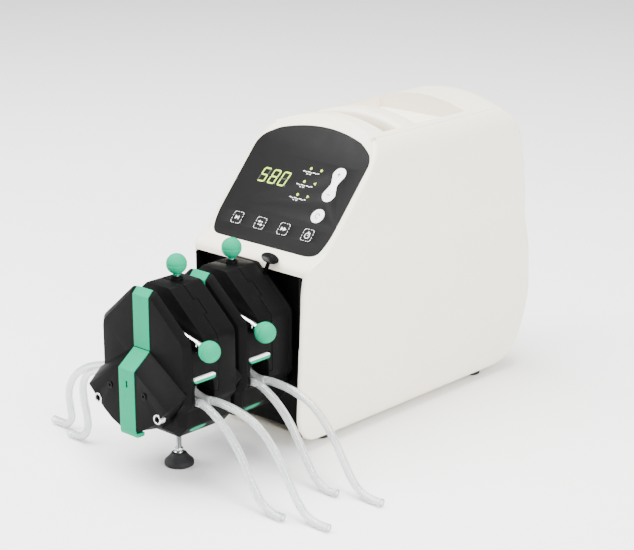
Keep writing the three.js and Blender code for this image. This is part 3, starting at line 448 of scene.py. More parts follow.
def cover_row(z, edge):
    """One row of the top cover at ring height z: across the width, on the front or the rear edge."""
    x = across * (half_at(np.array([z]))[0] - cover_inset)
    height = z + crown_at(x) * crown_share(z)
    y = front_at(height) if edge == "front" else rear_at(np.full_like(x, z))
    return np.stack([x, y, height], axis=-1)


def top_cover_grid():
    """Rows up the nose and panel slope, straight across the crowned top, and down the rear edge."""
    rise = np.concatenate([np.linspace(LIP_BOTTOM, 180, 18), np.linspace(182, 262, 22), [SEAM_Z]])
    rows = [cover_row(z, "front") for z in rise]
    first, last = rows[-1], cover_row(SEAM_Z, "rear")
    for t in np.linspace(0, 1, 5)[1:]:
        rows.append(np.stack([first[:, 0], first[:, 1] * (1 - t) + WELL_FRONT * t, first[:, 2]], axis=-1))
    well_rows = np.linspace(WELL_FRONT, WELL_REAR, 13)[1:]
    for y in well_rows:
        rows.append(np.stack([first[:, 0], np.full(len(across), y), first[:, 2]], axis=-1))
    for t in np.linspace(0, 1, 7)[1:]:
        rows.append(np.stack([first[:, 0], WELL_REAR * (1 - t) + last[:, 1] * t, first[:, 2]], axis=-1))
    for z in np.linspace(SEAM_Z, REAR_SPLIT + 0.3, 14)[1:]:
        rows.append(cover_row(z, "rear"))
    grid = np.stack(rows)
    start = len(rise) + 3
    return grid, start, start + len(well_rows)


grid, well_start, well_end = top_cover_grid()
rows, columns = grid.shape[:2]
faces = grid_faces(rows, columns)[:, ::-1]
row_of, column_of = np.divmod(faces.min(axis=1), columns)
open_columns = np.flatnonzero((across[:-1] >= -well_edge - 1e-6) & (across[1:] <= well_edge + 1e-6))
in_well = (row_of >= well_start) & (row_of < well_end) & np.isin(column_of, open_columns)
faces = faces[~in_well].tolist()
points = grid.reshape(-1, 3).tolist()
well_columns = np.arange(open_columns[0], open_columns[-1] + 2)
profile = [(WELL_FRONT, WELL_FLOOR), (GRIP_FRONT + GRIP_DEPTH, WELL_FLOOR), (WELL_REAR, SEAM_Z - 6)]
rim_front = [int(well_start * columns + c) for c in well_columns]
rim_rear = [int(well_end * columns + c) for c in well_columns]
lines = [rim_front]
for y, z in profile:
    lines.append(list(range(len(points), len(points) + len(well_columns))))
    points += [(points[rim_front[i]][0], y, z) for i in range(len(well_columns))]
lines.append(rim_rear)
for upper, lower in zip(lines[:-1], lines[1:]):
    faces += [(upper[i], lower[i], lower[i + 1], upper[i + 1]) for i in range(len(well_columns) - 1)]
for end, order in ((0, 1), (-1, -1)):
    rim = [int(r * columns + well_columns[end]) for r in range(well_end, well_start - 1, -1)]
    faces.append((rim + [line[end] for line in lines[1:-1]])[::order])
top_cover = make("top_cover_moulding", points, faces, white_abs, ROOT, "cream_plastic",
                 hides=("top_cover",))
walled(top_cover, TOP_WALL)

# ---------------------------------------------------------------- rear cover
# The back wall in the same ABS, with six vent slots, four screws and a recess for the mains inlet.
rear_rise = np.concatenate([np.linspace(11, 40, 12), np.linspace(44, REAR_SPLIT, 44)])
rear_grid = np.stack([cover_row(z, "rear") for z in rear_rise])
rear_cover = make("rear_cover_moulding", rear_grid.reshape(-1, 3), grid_faces(*rear_grid.shape[:2]),
                  white_abs, ROOT, "cream_plastic", solid=False, hides=("rear_cover",))
walled(rear_cover, WALL)
INLET_Z, INLET_Y = 60.0, REAR_Y - 14
RECESS_HALF, RECESS_HALF_HEIGHT, RECESS_WALL = 44.0, 20.0, 1.4


def slot_outline(half_length, half_height, r, steps=6):
    """A rounded rectangle: quarter circles of radius r about its four inner corners."""
    a = np.linspace(0, np.pi / 2, steps)
    out = []
    for k, (sx, sz) in enumerate(((1, 1), (-1, 1), (-1, -1), (1, -1))):
        t = a + k * np.pi / 2
        out.append(np.column_stack([sx * (half_length - r) + r * np.cos(t),
                                    sz * (half_height - r) + r * np.sin(t)]))
    return np.vstack(out)


def between(first, last):
    """Points and faces of the solid between two rings of as many points, closed at both ends."""
    n = len(first)
    faces = [tuple(range(n)), tuple(range(2 * n - 1, n - 1, -1))]
    faces += [(i, (i + 1) % n, n + (i + 1) % n, n + i) for i in range(n)]
    return np.vstack([first, last]), faces


def block_along(outline, axis, low, high):
    """Points and faces of an outline carried straight from low to high along axis 0, 1 or 2."""
    return between(np.insert(outline, axis, low, axis=1), np.insert(outline, axis, high, axis=1))


def carved(thing, cutters):
    """Takes blocks out of a piece: each cutter is points and faces in mm, cut exactly, then dropped."""
    for points, faces in cutters:
        mesh = bpy.data.meshes.new("cutter")
        mesh.from_pydata(in_frame(points).tolist(), [], faces)
        work = bmesh.new()
        work.from_mesh(mesh)
        bmesh.ops.recalc_face_normals(work, faces=work.faces)
        work.to_mesh(mesh)
        work.free()
        cutter = bpy.data.objects.new("cutter", mesh)
        bpy.context.scene.collection.objects.link(cutter)
        cut = thing.modifiers.new("cut", "BOOLEAN")
        cut.operation = "DIFFERENCE"
        cut.solver = "EXACT"
        cut.object = cutter
        applied(thing)
        bpy.data.objects.remove(cutter)


VENT_Z, VENT_PITCH, VENT_HALF, VENTS = 120.0, 9.0, 30.0, 6
cutters = [block_along(slot_outline(RECESS_HALF, RECESS_HALF_HEIGHT, 4) + [0, INLET_Z], 1, 190, 260)]
for i in range(VENTS):
    cutters.append(block_along(slot_outline(VENT_HALF, 2, 1.9) + [0, VENT_Z + i * VENT_PITCH], 1, 180, 260))
carved(rear_cover, cutters)


def tray(outer_half, outer_height, deep_y, mouth_y, floor_wall):
    """An open box: its outline carried in from a lip just inside the wall, with a floor and a turned lip."""
    ring = slot_outline(outer_half, outer_height, 4) + [0, INLET_Z]
    small = slot_outline(outer_half - 1.5, outer_height - 1.5, 3) + [0, INLET_Z]
    n = len(ring)
    stack = [np.insert(ring, 1, mouth_y, axis=1), np.insert(ring, 1, deep_y - floor_wall, axis=1),
             np.insert(small, 1, mouth_y, axis=1), np.insert(small, 1, deep_y, axis=1)]
    faces = grid_faces(2, n, close_columns=True).tolist()
    faces += (grid_faces(2, n, close_columns=True) + 2 * n).tolist()
    faces += [(i, (i + 1) % n, 2 * n + (i + 1) % n, 2 * n + i) for i in range(n)]
    faces += [tuple(range(n, 2 * n)), tuple(range(3 * n, 4 * n))]
    return np.vstack(stack), faces


points, faces = tray(RECESS_HALF + RECESS_WALL, RECESS_HALF_HEIGHT + RECESS_WALL, INLET_Y, REAR_Y - 3.2, 2.0)
recess = make("inlet_recess", points, faces, white_abs, ROOT, "cream_plastic", hides=("rear_cover",))
inlet_hole = slot_outline(30.0, 13.0, 1.0) + [-6, INLET_Z]
carved(recess, [block_along(inlet_hole, 1, INLET_Y - 5, INLET_Y + 1)])

# ---------------------------------------------------------------- handle grip
# A moulded bar across the well, flush with the crowned top and bowed with it, rounded all round.
GRIP_POWER = 3.6
grip_x = np.linspace(-WELL_HALF + 0.3, WELL_HALF - 0.3, 41)
turn = np.linspace(0, 2 * np.pi, 40, endpoint=False)


def superellipse(half_u, half_v, power, angle):
    """|u/a|^n + |v/b|^n = 1, by raising cosine and sine to 2/n with their signs kept."""
    c, s = np.cos(angle), np.sin(angle)
    return (half_u * np.sign(c) * np.abs(c) ** (2 / power), half_v * np.sign(s) * np.abs(s) ** (2 / power))


def capped(rows, columns, first=True):
    """Quads over a grid closed round, flat on its last row, and on its first unless told not to."""
    faces = grid_faces(rows, columns, close_columns=True).tolist()
    if first:
        faces.append(tuple(range(columns)))
    return faces + [tuple(range((rows - 1) * columns, rows * columns))]


grip_u, grip_v = superellipse(GRIP_DEPTH / 2, GRIP_HEIGHT / 2, GRIP_POWER, turn)
grip_top = SEAM_Z + crown_at(grip_x) * 0.98
flare = 1 + 0.1 * np.exp(-((WELL_HALF - np.abs(grip_x)) / 4) ** 2)
grip = np.stack([np.repeat(grip_x[:, None], len(turn), axis=1),
                 GRIP_FRONT + GRIP_DEPTH / 2 + flare[:, None] * grip_u,
                 (grip_top - GRIP_HEIGHT / 2)[:, None] + grip_v], axis=-1)
make("handle_grip_bar", grip.reshape(-1, 3), capped(*grip.shape[:2]), white_abs, ROOT, "cream_plastic",
     hides=("handle_grip",))

# ---------------------------------------------------------------- key panel
# A printed polyester overlay, dark grey and satin, let into the slope. Six keys move in it: four
# printed ones, a round white one and a white rocker. A window in it shows green digits and lamps.
PANEL_SIN, PANEL_COS = math.sin(PANEL_LEAN), math.cos(PANEL_LEAN)


def on_panel(u, v, w):
    """Across, up the slope and out of it, to X, Y and Z."""
    u, v, w = np.broadcast_arrays(np.asarray(u, float), np.asarray(v, float), np.asarray(w, float))
    y = PANEL_Y + v * PANEL_SIN - w * PANEL_COS
    return np.stack([u, y, PANEL_Z + v * PANEL_COS + w * PANEL_SIN], axis=-1)


def eased_outline(corners, radii, steps=7):
    """A polygon, each corner replaced by (1 - t)^2 a + 2t(1 - t) corner + t^2 b, with a and b r from it."""
    p = np.asarray(corners, float)
    r = np.broadcast_to(np.asarray(radii, float), len(p))[:, None]
    back, ahead = np.roll(p, 1, axis=0) - p, np.roll(p, -1, axis=0) - p
    back_length = np.hypot(back[:, 0], back[:, 1])[:, None]
    ahead_length = np.hypot(ahead[:, 0], ahead[:, 1])[:, None]
    a = p + back / back_length * np.minimum(r, 0.45 * back_length)
    b = p + ahead / ahead_length * np.minimum(r, 0.45 * ahead_length)
    t = np.linspace(0, 1, steps)[None, :, None]
    curve = (1 - t) ** 2 * a[:, None] + 2 * t * (1 - t) * p[:, None] + t ** 2 * b[:, None]
    flat = curve.reshape(-1, 2)
    keep = np.hypot(*(flat - np.roll(flat, 1, axis=0)).T) > 1e-3
    return flat[keep]


def overlay_outline(grow):
    """Nearly upright sides, a bowed top between rounded shoulders and a straight foot."""
    half, top, shoulder = 68.6 + grow, 123 + grow, 114 + grow
    bow_half = half - 18
    bow = np.linspace(0, 1, 9)[1:]
    right = [(half - 6, -1 - grow), (half, 18), (half, shoulder - 12), (bow_half, shoulder)]
    right += [(bow_half * (1 - t), shoulder + (top - shoulder) * (1 - (1 - t) ** 2)) for t in bow]
    both = right + [(-x, y) for x, y in right[:-1]][::-1]
    return eased_outline(both, [12 if abs(x) > bow_half - 1 else 2 for x, _ in both])


KEY_TOP, KEY_BOTTOM = 0.4, -0.7
SQUARE_HALF, ROUND_R = 6.2, 6.6
key_spots = {"start_key": (-43, 19), "direction_key": (-14.3, 19), "fast_key": (14.3, 19),
             "timer_key": (43, 19), "function_key": (43, 38.5), "plus_minus_key": (43, 70.5)}


def key_outline(name, grow):
    """A rounded square, a circle, or two circles joined by a waist that is pinched by a cosine."""
    u, v = key_spots[name]
    if name == "plus_minus_key":
        reach, waist = 10.4, 3.4
        a = np.radians(np.linspace(-38, 218, 22))
        r = ROUND_R + grow
        cap_top = np.column_stack([u + r * np.cos(a), v + reach + r * np.sin(a)])
        edge_x, edge_v = r * math.cos(math.radians(38)), reach - r * math.sin(math.radians(38))
        s = np.linspace(-1, 1, 11)[1:-1]
        pinch = edge_x - (edge_x - waist - grow) * np.cos(s * np.pi / 2) ** 1.5
        left = np.column_stack([u - pinch, v - s * edge_v])
        bottom = np.column_stack([u - r * np.cos(a), v - reach - r * np.sin(a)])
        right = np.column_stack([u + pinch, v + s * edge_v])
        return np.vstack([cap_top, left, bottom, right])
    if name == "function_key":
        a = np.linspace(0, 2 * np.pi, 40, endpoint=False)
        return np.column_stack([u + (ROUND_R + grow) * np.cos(a), v + (ROUND_R + grow) * np.sin(a)])
    return slot_outline(SQUARE_HALF + grow, SQUARE_HALF + grow, 2.6) + [u, v]


# the pocket for the overlay, cut 1.5 mm deep into the slope
pocket = overlay_outline(0.3).T
carved(top_cover, [between(on_panel(*pocket, -1.5), on_panel(*pocket, 9.0))])


def film(name, outlines, low, high, rim, finish, body, slot, hides=()):
    """A flat plate on the panel with holes: outlines are its edge, then its holes; rim is its edge radius."""
    flat = bpy.data.curves.new(name, "CURVE")
    flat.dimensions = "2D"
    flat.fill_mode = "BOTH"
    flat.extrude = (high - low) / 2 - rim
    flat.bevel_depth = rim
    flat.bevel_resolution = 2
    for outline in outlines:
        line = flat.splines.new("POLY")
        line.points.add(len(outline) - 1)
        corners = np.column_stack([outline, np.zeros(len(outline)), np.ones(len(outline))])
        line.points.foreach_set("co", corners.astype(np.float32).ravel())
        line.use_cyclic_u = True
    holder = bpy.data.objects.new(name, flat)
    bpy.context.scene.collection.objects.link(holder)
    view = bpy.context.evaluated_depsgraph_get()
    mesh = bpy.data.meshes.new_from_object(holder.evaluated_get(view))
    bpy.data.objects.remove(holder)
    raw = np.zeros(len(mesh.vertices) * 3, np.float32)
    mesh.vertices.foreach_get("co", raw)
    raw = raw.reshape(-1, 3).astype(float)
    points = on_panel(raw[:, 0], raw[:, 1], raw[:, 2] + (low + high) / 2)
    polygons = [tuple(p.vertices) for p in mesh.polygons]
    bpy.data.meshes.remove(mesh)
    return make(name, points, polygons, finish, body, slot, hides=hides)


# printed polyester film: fine satin texture, even dark grey, slightly glossier than the case
grey_film = moulded("dark_grey_polyester_film", "#111111", "#0E0E0E", 0.42, 0.5, 0.006, patch=90.0,
                    shine=0.07)
# the wells under the keys: black foam and painted shadow
well_black_and_shade = moulded("black_key_well_foam_and_painted_shade", "#080808", "#050505", 0.9, 1.0, 0.05, shine=0.1)
film("overlay_film", [overlay_outline(0)] + [key_outline(k, 0.3) for k in key_spots], -0.55, 0.0, 0.08,
     grey_film, ROOT, "overlay_film", hides=("control_overlay",))
# painted shadow: this near-black backing darkens the gaps round the keys
film("overlay_backing", [overlay_outline(-0.6)], -1.42, -1.36, 0.02, well_black_and_shade, ROOT, "overlay_film")

# white moulded key tops, satin
white_key = moulded("white_key_plastic", "#F4F4F4", "#ECECEC", 0.45, 0.6, 0.008)
# printed white ink, a little raised and dull
white_ink = moulded("white_screen_ink", "#F7F7F7", "#E9E9E9", 0.7, 0.5, 0.01)
grey_ink = moulded("grey_screen_ink", "#1C1C1C", "#161616", 0.7, 0.5, 0.01, shine=0.1)
INK = 0.07


def key_cap(name, finish, slot):
    """A key top: its outline from the well up, with a rim radius of 0.3 mm."""
    film(f"{name}_top", [key_outline(name, 0)], KEY_BOTTOM, KEY_TOP, 0.3, finish, name, slot, hides=(name,))


for name in key_spots:
    white = name in ("function_key", "plus_minus_key")
    key_cap(name, white_key if white else grey_film, "white_key_plastic" if white else "overlay_film")


def ribbon(line, width):
    """A stroke of constant width along a polyline: the line moved half the width to each side."""
    p = np.asarray(line, float)
    way = np.gradient(p, axis=0)
    way /= np.hypot(way[:, 0], way[:, 1])[:, None]
    side = np.column_stack([-way[:, 1], way[:, 0]]) * width / 2
    return np.vstack([p + side, (p - side)[::-1]])


def arc(u, v, r, start, end, steps=9):
    """Part of a circle, angles in degrees."""
    a = np.radians(np.linspace(start, end, steps))
    return np.column_stack([u + r * np.cos(a), v + r * np.sin(a)])


def printed(name, shapes, low, finish, body, slot, height=INK):
    """Shapes printed on the panel, each a closed outline raised by a film of ink."""
    points, faces = np.zeros((0, 3)), []
    for outline in shapes:
        raised, sides = between(on_panel(*outline.T, low), on_panel(*outline.T, low + height))
        faces += [tuple(len(points) + i for i in face) for face in sides]
        points = np.vstack([points, raised])
    make(name, points, faces, finish, body, slot)


def dashed_square(u, v, half, r, width):
    """A rounded square drawn in twelve strokes: a bent one at each corner and two on each side."""
    strokes = []
    for k in range(4):
        turn_by = np.radians(90 * k)
        spin = np.array([[np.cos(turn_by), np.sin(turn_by)], [-np.sin(turn_by), np.cos(turn_by)]])
        bend = arc(half - r, half - r, r, -8, 98, 7)
        strokes.append(ribbon(bend @ spin + [u, v], width))
        for low, high in ((-2.3, -0.8), (0.8, 2.3)):
            strokes.append(ribbon(np.array([[half, low], [half, high]]) @ spin + [u, v], width))
    return strokes


def arrow(u, v, size, way):
    """A solid triangle pointing left (-1) or right (1)."""
    back, reach = u - way * size * 0.5, size * 0.62
    return np.array([(back, v - reach), (u + way * reach, v), (back, v + reach)])


def icons(name, u, v):
    """Start and pause, direction, fast forward, or a stopwatch."""
    if name == "start_key":
        return [arrow(u - 0.9, v, 3.0, 1), ribbon([(u + 1.6, v - 1.7), (u + 1.6, v + 1.7)], 0.7)]
    if name == "direction_key":
        return [arrow(u - 2.2, v + 1.5, 2.0, -1), ribbon([(u - 1.4, v + 1.5), (u + 2.4, v + 1.5)], 0.6),
                arrow(u + 2.2, v - 1.5, 2.0, 1), ribbon([(u - 2.4, v - 1.5), (u + 1.4, v - 1.5)], 0.6)]
    if name == "fast_key":
        return [arrow(u - 1.6, v, 2.9, 1), arrow(u + 1.6, v, 2.9, 1)]
    ring = [ribbon(arc(u, v - 0.6, 2.6, 0, 180, 12), 0.6), ribbon(arc(u, v - 0.6, 2.6, 180, 360, 12), 0.6)]
    return ring + [ribbon([(u, v - 0.6), (u + 1.1, v + 0.7)], 0.5), ribbon([(u, v + 2.2), (u, v + 3.4)], 1.2),
                   ribbon([(u + 2.0, v + 1.7), (u + 2.7, v + 2.4)], 0.7)]


for name in ("start_key", "direction_key", "fast_key", "timer_key"):
    u, v = key_spots[name]
    printed(f"{name}_print", dashed_square(u, v, 5.7, 2.2, 0.36) + icons(name, u, v), KEY_TOP, white_ink,
            name, "white_key_plastic")
u, v = key_spots["function_key"]
printed("function_key_print", [ribbon(arc(u, v, 2.3, 30, 300, 14), 0.6), arrow(u + 1.9, v + 1.2, 1.5, 1)],
        KEY_TOP, grey_ink, "function_key", "white_key_plastic")
u, v = key_spots["plus_minus_key"]
printed("plus_minus_key_print",
        [ribbon([(u - 1.8, v + 10.4), (u + 1.8, v + 10.4)], 0.7), ribbon([(u, v + 8.6), (u, v + 12.2)], 0.7),
         ribbon([(u - 1.8, v - 10.4), (u + 1.8, v - 10.4)], 0.7)],
        KEY_TOP, grey_ink, "plus_minus_key", "white_key_plastic")


def lit(name, colour, strength):
    """A lamp under clear film: coloured, glossy and glowing a little."""
    material, tree, out = empty_material(name)
    spot = add(tree, "TexCoord").outputs["Object"]
    cells = add(tree, "TexNoise", Vector=spot, Scale=700.0, Detail=1.0)
    tone = add(tree, "MixRGB", Fac=cells.outputs["Fac"], Color1=linear(colour), Color2=linear("#7E9A3C"))
    shader = add(tree, "BsdfPrincipled", Base_Color=tone.outputs["Color"], Roughness=0.25,
                 Emission_Color=linear(colour), Emission_Strength=strength)
    tree.links.new(shader.outputs["BSDF"], out.inputs["Surface"])
    return material


green_glow = lit("lit_green_segment", "#B4E24A", 0.9)
dim_segment = moulded("unlit_grey_segment", "#33352F", "#2C2E29", 0.4, 0.5, 0.004, shine=0.2)
DIGIT_W, DIGIT_H, DIGIT_LEAN = 7.4, 13.6, 0.16
segments = {"a": ((0, 1), (1, 1)), "b": ((1, 1), (1, 0.5)), "c": ((1, 0.5), (1, 0)), "d": ((0, 0), (1, 0)),
            "e": ((0, 0), (0, 0.5)), "f": ((0, 0.5), (0, 1)), "g": ((0, 0.5), (1, 0.5))}
lit_of = {"5": "acdfg", "8": "abcdefg", "0": "abcdef"}


def segment(u, v, ends, width):
    """One bar of a digit: a long hexagon between its ends, leaned with the digit."""
    a, b = (np.array([x * DIGIT_W, y * DIGIT_H]) for x, y in ends)
    way = (b - a) / np.hypot(*(b - a))
    side = np.array([-way[1], way[0]]) * width / 2
    a, b = a + way * 0.75, b - way * 0.75
    six = np.array([a - way * width / 2, a + side, b + side, b + way * width / 2, b - side, a - side])
    return np.column_stack([u + six[:, 0] + six[:, 1] * DIGIT_LEAN, v + six[:, 1]])


DISPLAY_U, DISPLAY_V, DIGIT_PITCH, BAR_WIDTH = -43.5, 58.7, 12.2, 1.45
glowing, dark = [], []
for place, digit in enumerate("580"):
    u = DISPLAY_U + place * DIGIT_PITCH
    for key, ends in segments.items():
        (glowing if key in lit_of[digit] else dark).append(segment(u, DISPLAY_V, ends, BAR_WIDTH))
    dark.append(arc(u + DIGIT_W + 1.9, 58.9, 0.75, 0, 330, 12))
# three rows of lamps: a round one on the left, and a round one or an arrow on the right
LAMP_LEFT, LAMP_RIGHT, LAMP_R = 9.4, 21.8, 1.35
lamps = []
for v, way in ((81, 0), (67.5, -1), (54, 1)):
    lamps.append(arc(LAMP_LEFT, v, LAMP_R, 0, 340, 18))
    lamps.append(arrow(LAMP_RIGHT, v, 2.6, way) if way else arc(LAMP_RIGHT, v, LAMP_R, 0, 340, 18))
# words beside the lamps, drawn as plain dashes
legend = []
for v in (77.2, 63.7, 50.2):
    u, rise = 2.0, 0.25
    for length in (2.2, 1.2, 2.8, 1.6, 2.4, 1.4, 1.9):
        legend.append(ribbon([(u, v + rise), (u + length, v + rise)], 0.75))
        u, rise = u + length + 0.9, -rise
    for u, length in ((7.0, 1.6), (10.0, 2.2)):
        legend.append(ribbon([(u, v - 1.9), (u + length, v - 1.9)], 0.65))
for name, shapes, finish in (("display_digits_lit", glowing, green_glow),
                             ("display_digits_unlit", dark, dim_segment),
                             ("mode_lamps", lamps, green_glow), ("mode_legend", legend, white_ink)):
    printed(name, shapes, 0.0, finish, ROOT, "overlay_film", height=0.05)

# ---------------------------------------------------------------- pump heads
# Each head is machined and moulded black acetal: a rear housing, a jaw that lifts off the tubes, a
# chamfered front cover and a lower cap held by two tie bolts. A teal band runs down the front.
# Its own CAD shapes are kept and their edges rounded off.
black_acetal = moulded("black_acetal", "#0F0F0F", "#0A0A0A", 0.4, 0.7, 0.006, patch=40.0, shine=0.025)
teal_abs = moulded("teal_abs", "#008C66", "#00845F", 0.4, 0.6, 0.004, patch=50.0, shine=0.03)


def edged(node, name, finish, width):
    """A copy of a CAD piece, doubles merged and flat facets joined, its sharp edges rounded over width mm."""
    source = frame["nodes"][node]
    mesh = source.data.copy()
    mesh.name = name
    work = bmesh.new()
    work.from_mesh(mesh)
    bmesh.ops.remove_doubles(work, verts=work.verts, dist=3e-6)
    bmesh.ops.dissolve_limit(work, angle_limit=math.radians(1.2), verts=work.verts, edges=work.edges)
    for edge in work.edges:
        edge.smooth = True
    work.to_mesh(mesh)
    work.free()
    mesh.materials.clear()
    mesh.materials.append(finish)
    mesh.shade_smooth()
    thing = bpy.data.objects.new(name, mesh)
    bpy.context.scene.collection.objects.link(thing)
    edge = thing.modifiers.new("edge", "BEVEL")
    edge.width = width / 1000
    edge.segments = 3
    edge.limit_method = "ANGLE"
    edge.angle_limit = math.radians(32)
    edge.use_clamp_overlap = True
    edge.harden_normals = True
    applied(thing, shade_again=False)
    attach(thing, source["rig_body"])
    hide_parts(node)


for head in HEADS:
    for node, part, width in (("head_housing", "rear_housing", 0.7), ("head_jaw", "lifting_jaw", 0.7),
                              ("head_cover", "front_cover", 0.9), ("lower_cap", "tie_cap", 0.9)):
        edged(f"{head}_{node}", f"{head}_{part}", black_acetal, width)
    edged(f"{head}_cover_stripe", f"{head}_upper_band", teal_abs, 0.35)
edged("cap_stripe", "lower_band", teal_abs, 0.6)
edged("adapter_flange", "black_adapter_flange", black_acetal, 0.7)

# ---------------------------------------------------------------- front panel and floor of the drive
# A black painted steel plate behind the heads, and the moulded floor tray with its turned-up edges.
painted_black = moulded("black_powder_coat", "#0C0C0C", "#090909", 0.55, 0.6, 0.02, patch=70.0, shine=0.05)
edged("front_panel", "black_front_plate", painted_black, 0.3)
edged("base_plate", "floor_tray", white_abs, 0.3)
# a thin black strip lines each side of the opening behind the heads
LINER_X, LINER_FRONT, LINER_REAR, LINER_THICK = 63.2, -106.0, -91.6, 0.6
LINER_MIDDLE, LINER_HALF_HEIGHT = 89.0, 73.0
for hand, name in ((-1, "left"), (1, "right")):
    ends = sorted((hand * LINER_X, hand * (LINER_X + LINER_THICK)))
    strip = slot_outline((LINER_REAR - LINER_FRONT) / 2, LINER_HALF_HEIGHT, 0.6)
    strip = strip + [(LINER_REAR + LINER_FRONT) / 2, LINER_MIDDLE]
    make(f"{name}_opening_liner", *block_along(strip, 0, *ends), painted_black, ROOT, "black_plastic")

# ---------------------------------------------------------------- levers, ball knobs and lock pins
# Polished stainless rods on cam hubs, with teal moulded balls that show their mould's parting line.
# The lock pins end in the same balls on a short neck, in a glossy collar.


def metal(name, colour, shade, roughness, streak, stretch, axis=0):
    """Turned or drawn metal: colour to shade in streaks of streak mm, stretched along its length."""
    material, tree, out = empty_material(name)
    spot = add(tree, "TexCoord").outputs["Object"]
    pull = [1.0, 1.0, 1.0]
    pull[axis] = 1 / stretch
    along = add(tree, "Mapping", Vector=spot, Scale=tuple(pull))
    lines = add(tree, "TexNoise", Vector=along.outputs["Vector"], Scale=1000 / streak, Detail=3.0)
    gloss = add(tree, "MapRange", Value=lines.outputs["Fac"], From_Min=0.3, From_Max=0.7,
                To_Min=roughness * 0.7, To_Max=roughness * 1.5)
    tone = add(tree, "MixRGB", Fac=lines.outputs["Fac"], Color1=linear(colour), Color2=linear(shade))
    skin = add(tree, "Bump", Height=lines.outputs["Fac"], Strength=0.2, Distance=0.00002)
    shader = add(tree, "BsdfPrincipled", Base_Color=tone.outputs["Color"], Metallic=1.0,
                 Roughness=gloss.outputs["Result"], Normal=skin.outputs["Normal"])
    tree.links.new(shader.outputs["BSDF"], out.inputs["Surface"])
    return material


polished_steel = metal("polished_stainless_steel", "#E2E4E6", "#B2B4B6", 0.16, 0.4, 12)


def turned(profile, centre, axis, sides=48):
    """A profile of radius and distance turned round an axis through centre: closed rings on a grid."""
    p = np.asarray(profile, float)
    n = np.asarray(axis, float) / np.linalg.norm(axis)
    side = np.cross(n, [0.0, 1.0, 0.0] if abs(n[1]) < 0.9 else [1.0, 0.0, 0.0])
    side /= np.linalg.norm(side)
    other = np.cross(n, side)
    a = np.linspace(0, 2 * np.pi, sides, endpoint=False)
    ring = np.cos(a)[:, None] * side + np.sin(a)[:, None] * other
    points = np.asarray(centre, float) + p[:, 1, None, None] * n + p[:, 0, None, None] * ring
    return points.reshape(-1, 3), grid_faces(len(p), sides, close_columns=True)


def ball_profile(radius, neck_r, neck_length):
    """A sphere with a groove round its middle, running into a neck: R - g exp(-(s / w)^2), s along it."""
    groove, groove_width = 0.5, 0.45
    a = np.linspace(math.asin(neck_r / radius), np.pi, 60)
    r = radius - groove * np.exp(-(((a - np.pi / 2) * radius) / groove_width) ** 2)
    sphere = np.column_stack([r * np.sin(a), -r * np.cos(a)])
    sphere[-1, 0] = 0.0
    start = sphere[0, 1]
    neck = np.array([(0.0, start - neck_length), (neck_r - 0.4, start - neck_length),
                     (neck_r, start - neck_length + 0.4), (neck_r, start - 1.0)])
    return np.vstack([neck, sphere])


PIVOT_Z, LEVER_Y = AXIS_Z + 53, 13.0
LEVER_REACH, LEVER_DROP, LEVER_BALL_R, ROD_R = HEAD_HALF + 13.9, 16.0, 9.2, 3.0
CAM_HIGH, CAM_LIFT, CAM_GAP, SWING = 11.5, 6.0, 0.05, math.radians(200)
HEAD_TOP = AXIS_Z + 78
PIN_Y, PIN_BALL_R, PIN_BALL_Z = 41.4, 9.0, HEAD_TOP + 13.7
lever_way = np.array([LEVER_REACH, 0.0, -LEVER_DROP])
lever_length = float(np.linalg.norm(lever_way))
lever_way /= lever_length
cam_turn = np.linspace(0, 2 * np.pi, 72, endpoint=False)
cam_rise = np.where(cam_turn < SWING, cam_turn / SWING, (2 * np.pi - cam_turn) / (2 * np.pi - SWING))
cam_r = CAM_HIGH - CAM_LIFT * cam_rise - CAM_GAP
cam_at = -np.pi / 2 - cam_turn
cam = np.column_stack([cam_r * np.cos(cam_at), PIVOT_Z + cam_r * np.sin(cam_at)])
rod = [(0, 8), (ROD_R - 0.3, 8), (ROD_R, 8.4)]
rod += [(ROD_R - inset, lever_length - back) for inset, back in
        ((0, 13.4), (0.5, 12.8), (0.5, 11.2), (0, 10.8), (0, 4.2), (ROD_R, 4))]
for head, face_y in HEADS.items():
    y = face_y + LEVER_Y
    centre = np.array([0.0, y, PIVOT_Z])
    make(f"{head}_lever_rod", *turned(rod, centre, lever_way), polished_steel, f"{head}_lever",
         "polished_steel", sharp=30, hides=(f"{head}_lever",))
    points, faces = block_along(cam, 1, face_y + 7.5, face_y + 18.4)
    make(f"{head}_lever_cam", points, faces, polished_steel, f"{head}_lever", "polished_steel", sharp=50,
         hides=(f"{head}_lever",))
    stub = [(0, 2.3), (3.2, 2.3), (3.5, 2.6), (3.5, 9), (0, 9)]
    make(f"{head}_lever_stub", *turned(stub, (0, face_y, PIVOT_Z), (0, 1, 0), 32), polished_steel,
         f"{head}_lever", "polished_steel", hides=(f"{head}_lever",))
    make(f"{head}_lever_ball_knob",
         *turned(ball_profile(LEVER_BALL_R, 4.2, 1.2), centre + lever_way * lever_length, lever_way),
         teal_abs, f"{head}_lever", "teal_plastic", hides=(f"{head}_lever_ball",))
    pin_at = np.array([0.0, face_y + PIN_Y, PIN_BALL_Z])
    make(f"{head}_lock_pin_ball", *turned(ball_profile(PIN_BALL_R, 3.3, 1.6), pin_at, (0, 0, 1)),
         teal_abs, f"{head}_lock_pin", "teal_plastic", hides=(f"{head}_lock_pin",))
    stem = [(0, -32), (2.2, -32), (2.5, -31.5), (2.5, -9.5), (0, -9.5)]
    make(f"{head}_lock_pin_stem", *turned(stem, pin_at, (0, 0, 1), 24), polished_steel,
         f"{head}_lock_pin", "polished_steel", hides=(f"{head}_lock_pin",))
    ring = [(2.9, 0.0), (5.4, 0.0), (5.35, 1.6), (4.9, 2.5), (4.2, 2.8), (3.2, 2.9), (2.9, 2.6), (2.9, 0.0)]
    make(f"{head}_pin_collar", *turned(ring, (0, face_y + PIN_Y, HEAD_TOP), (0, 0, 1), 40),
         black_acetal, ROOT, "black_plastic")
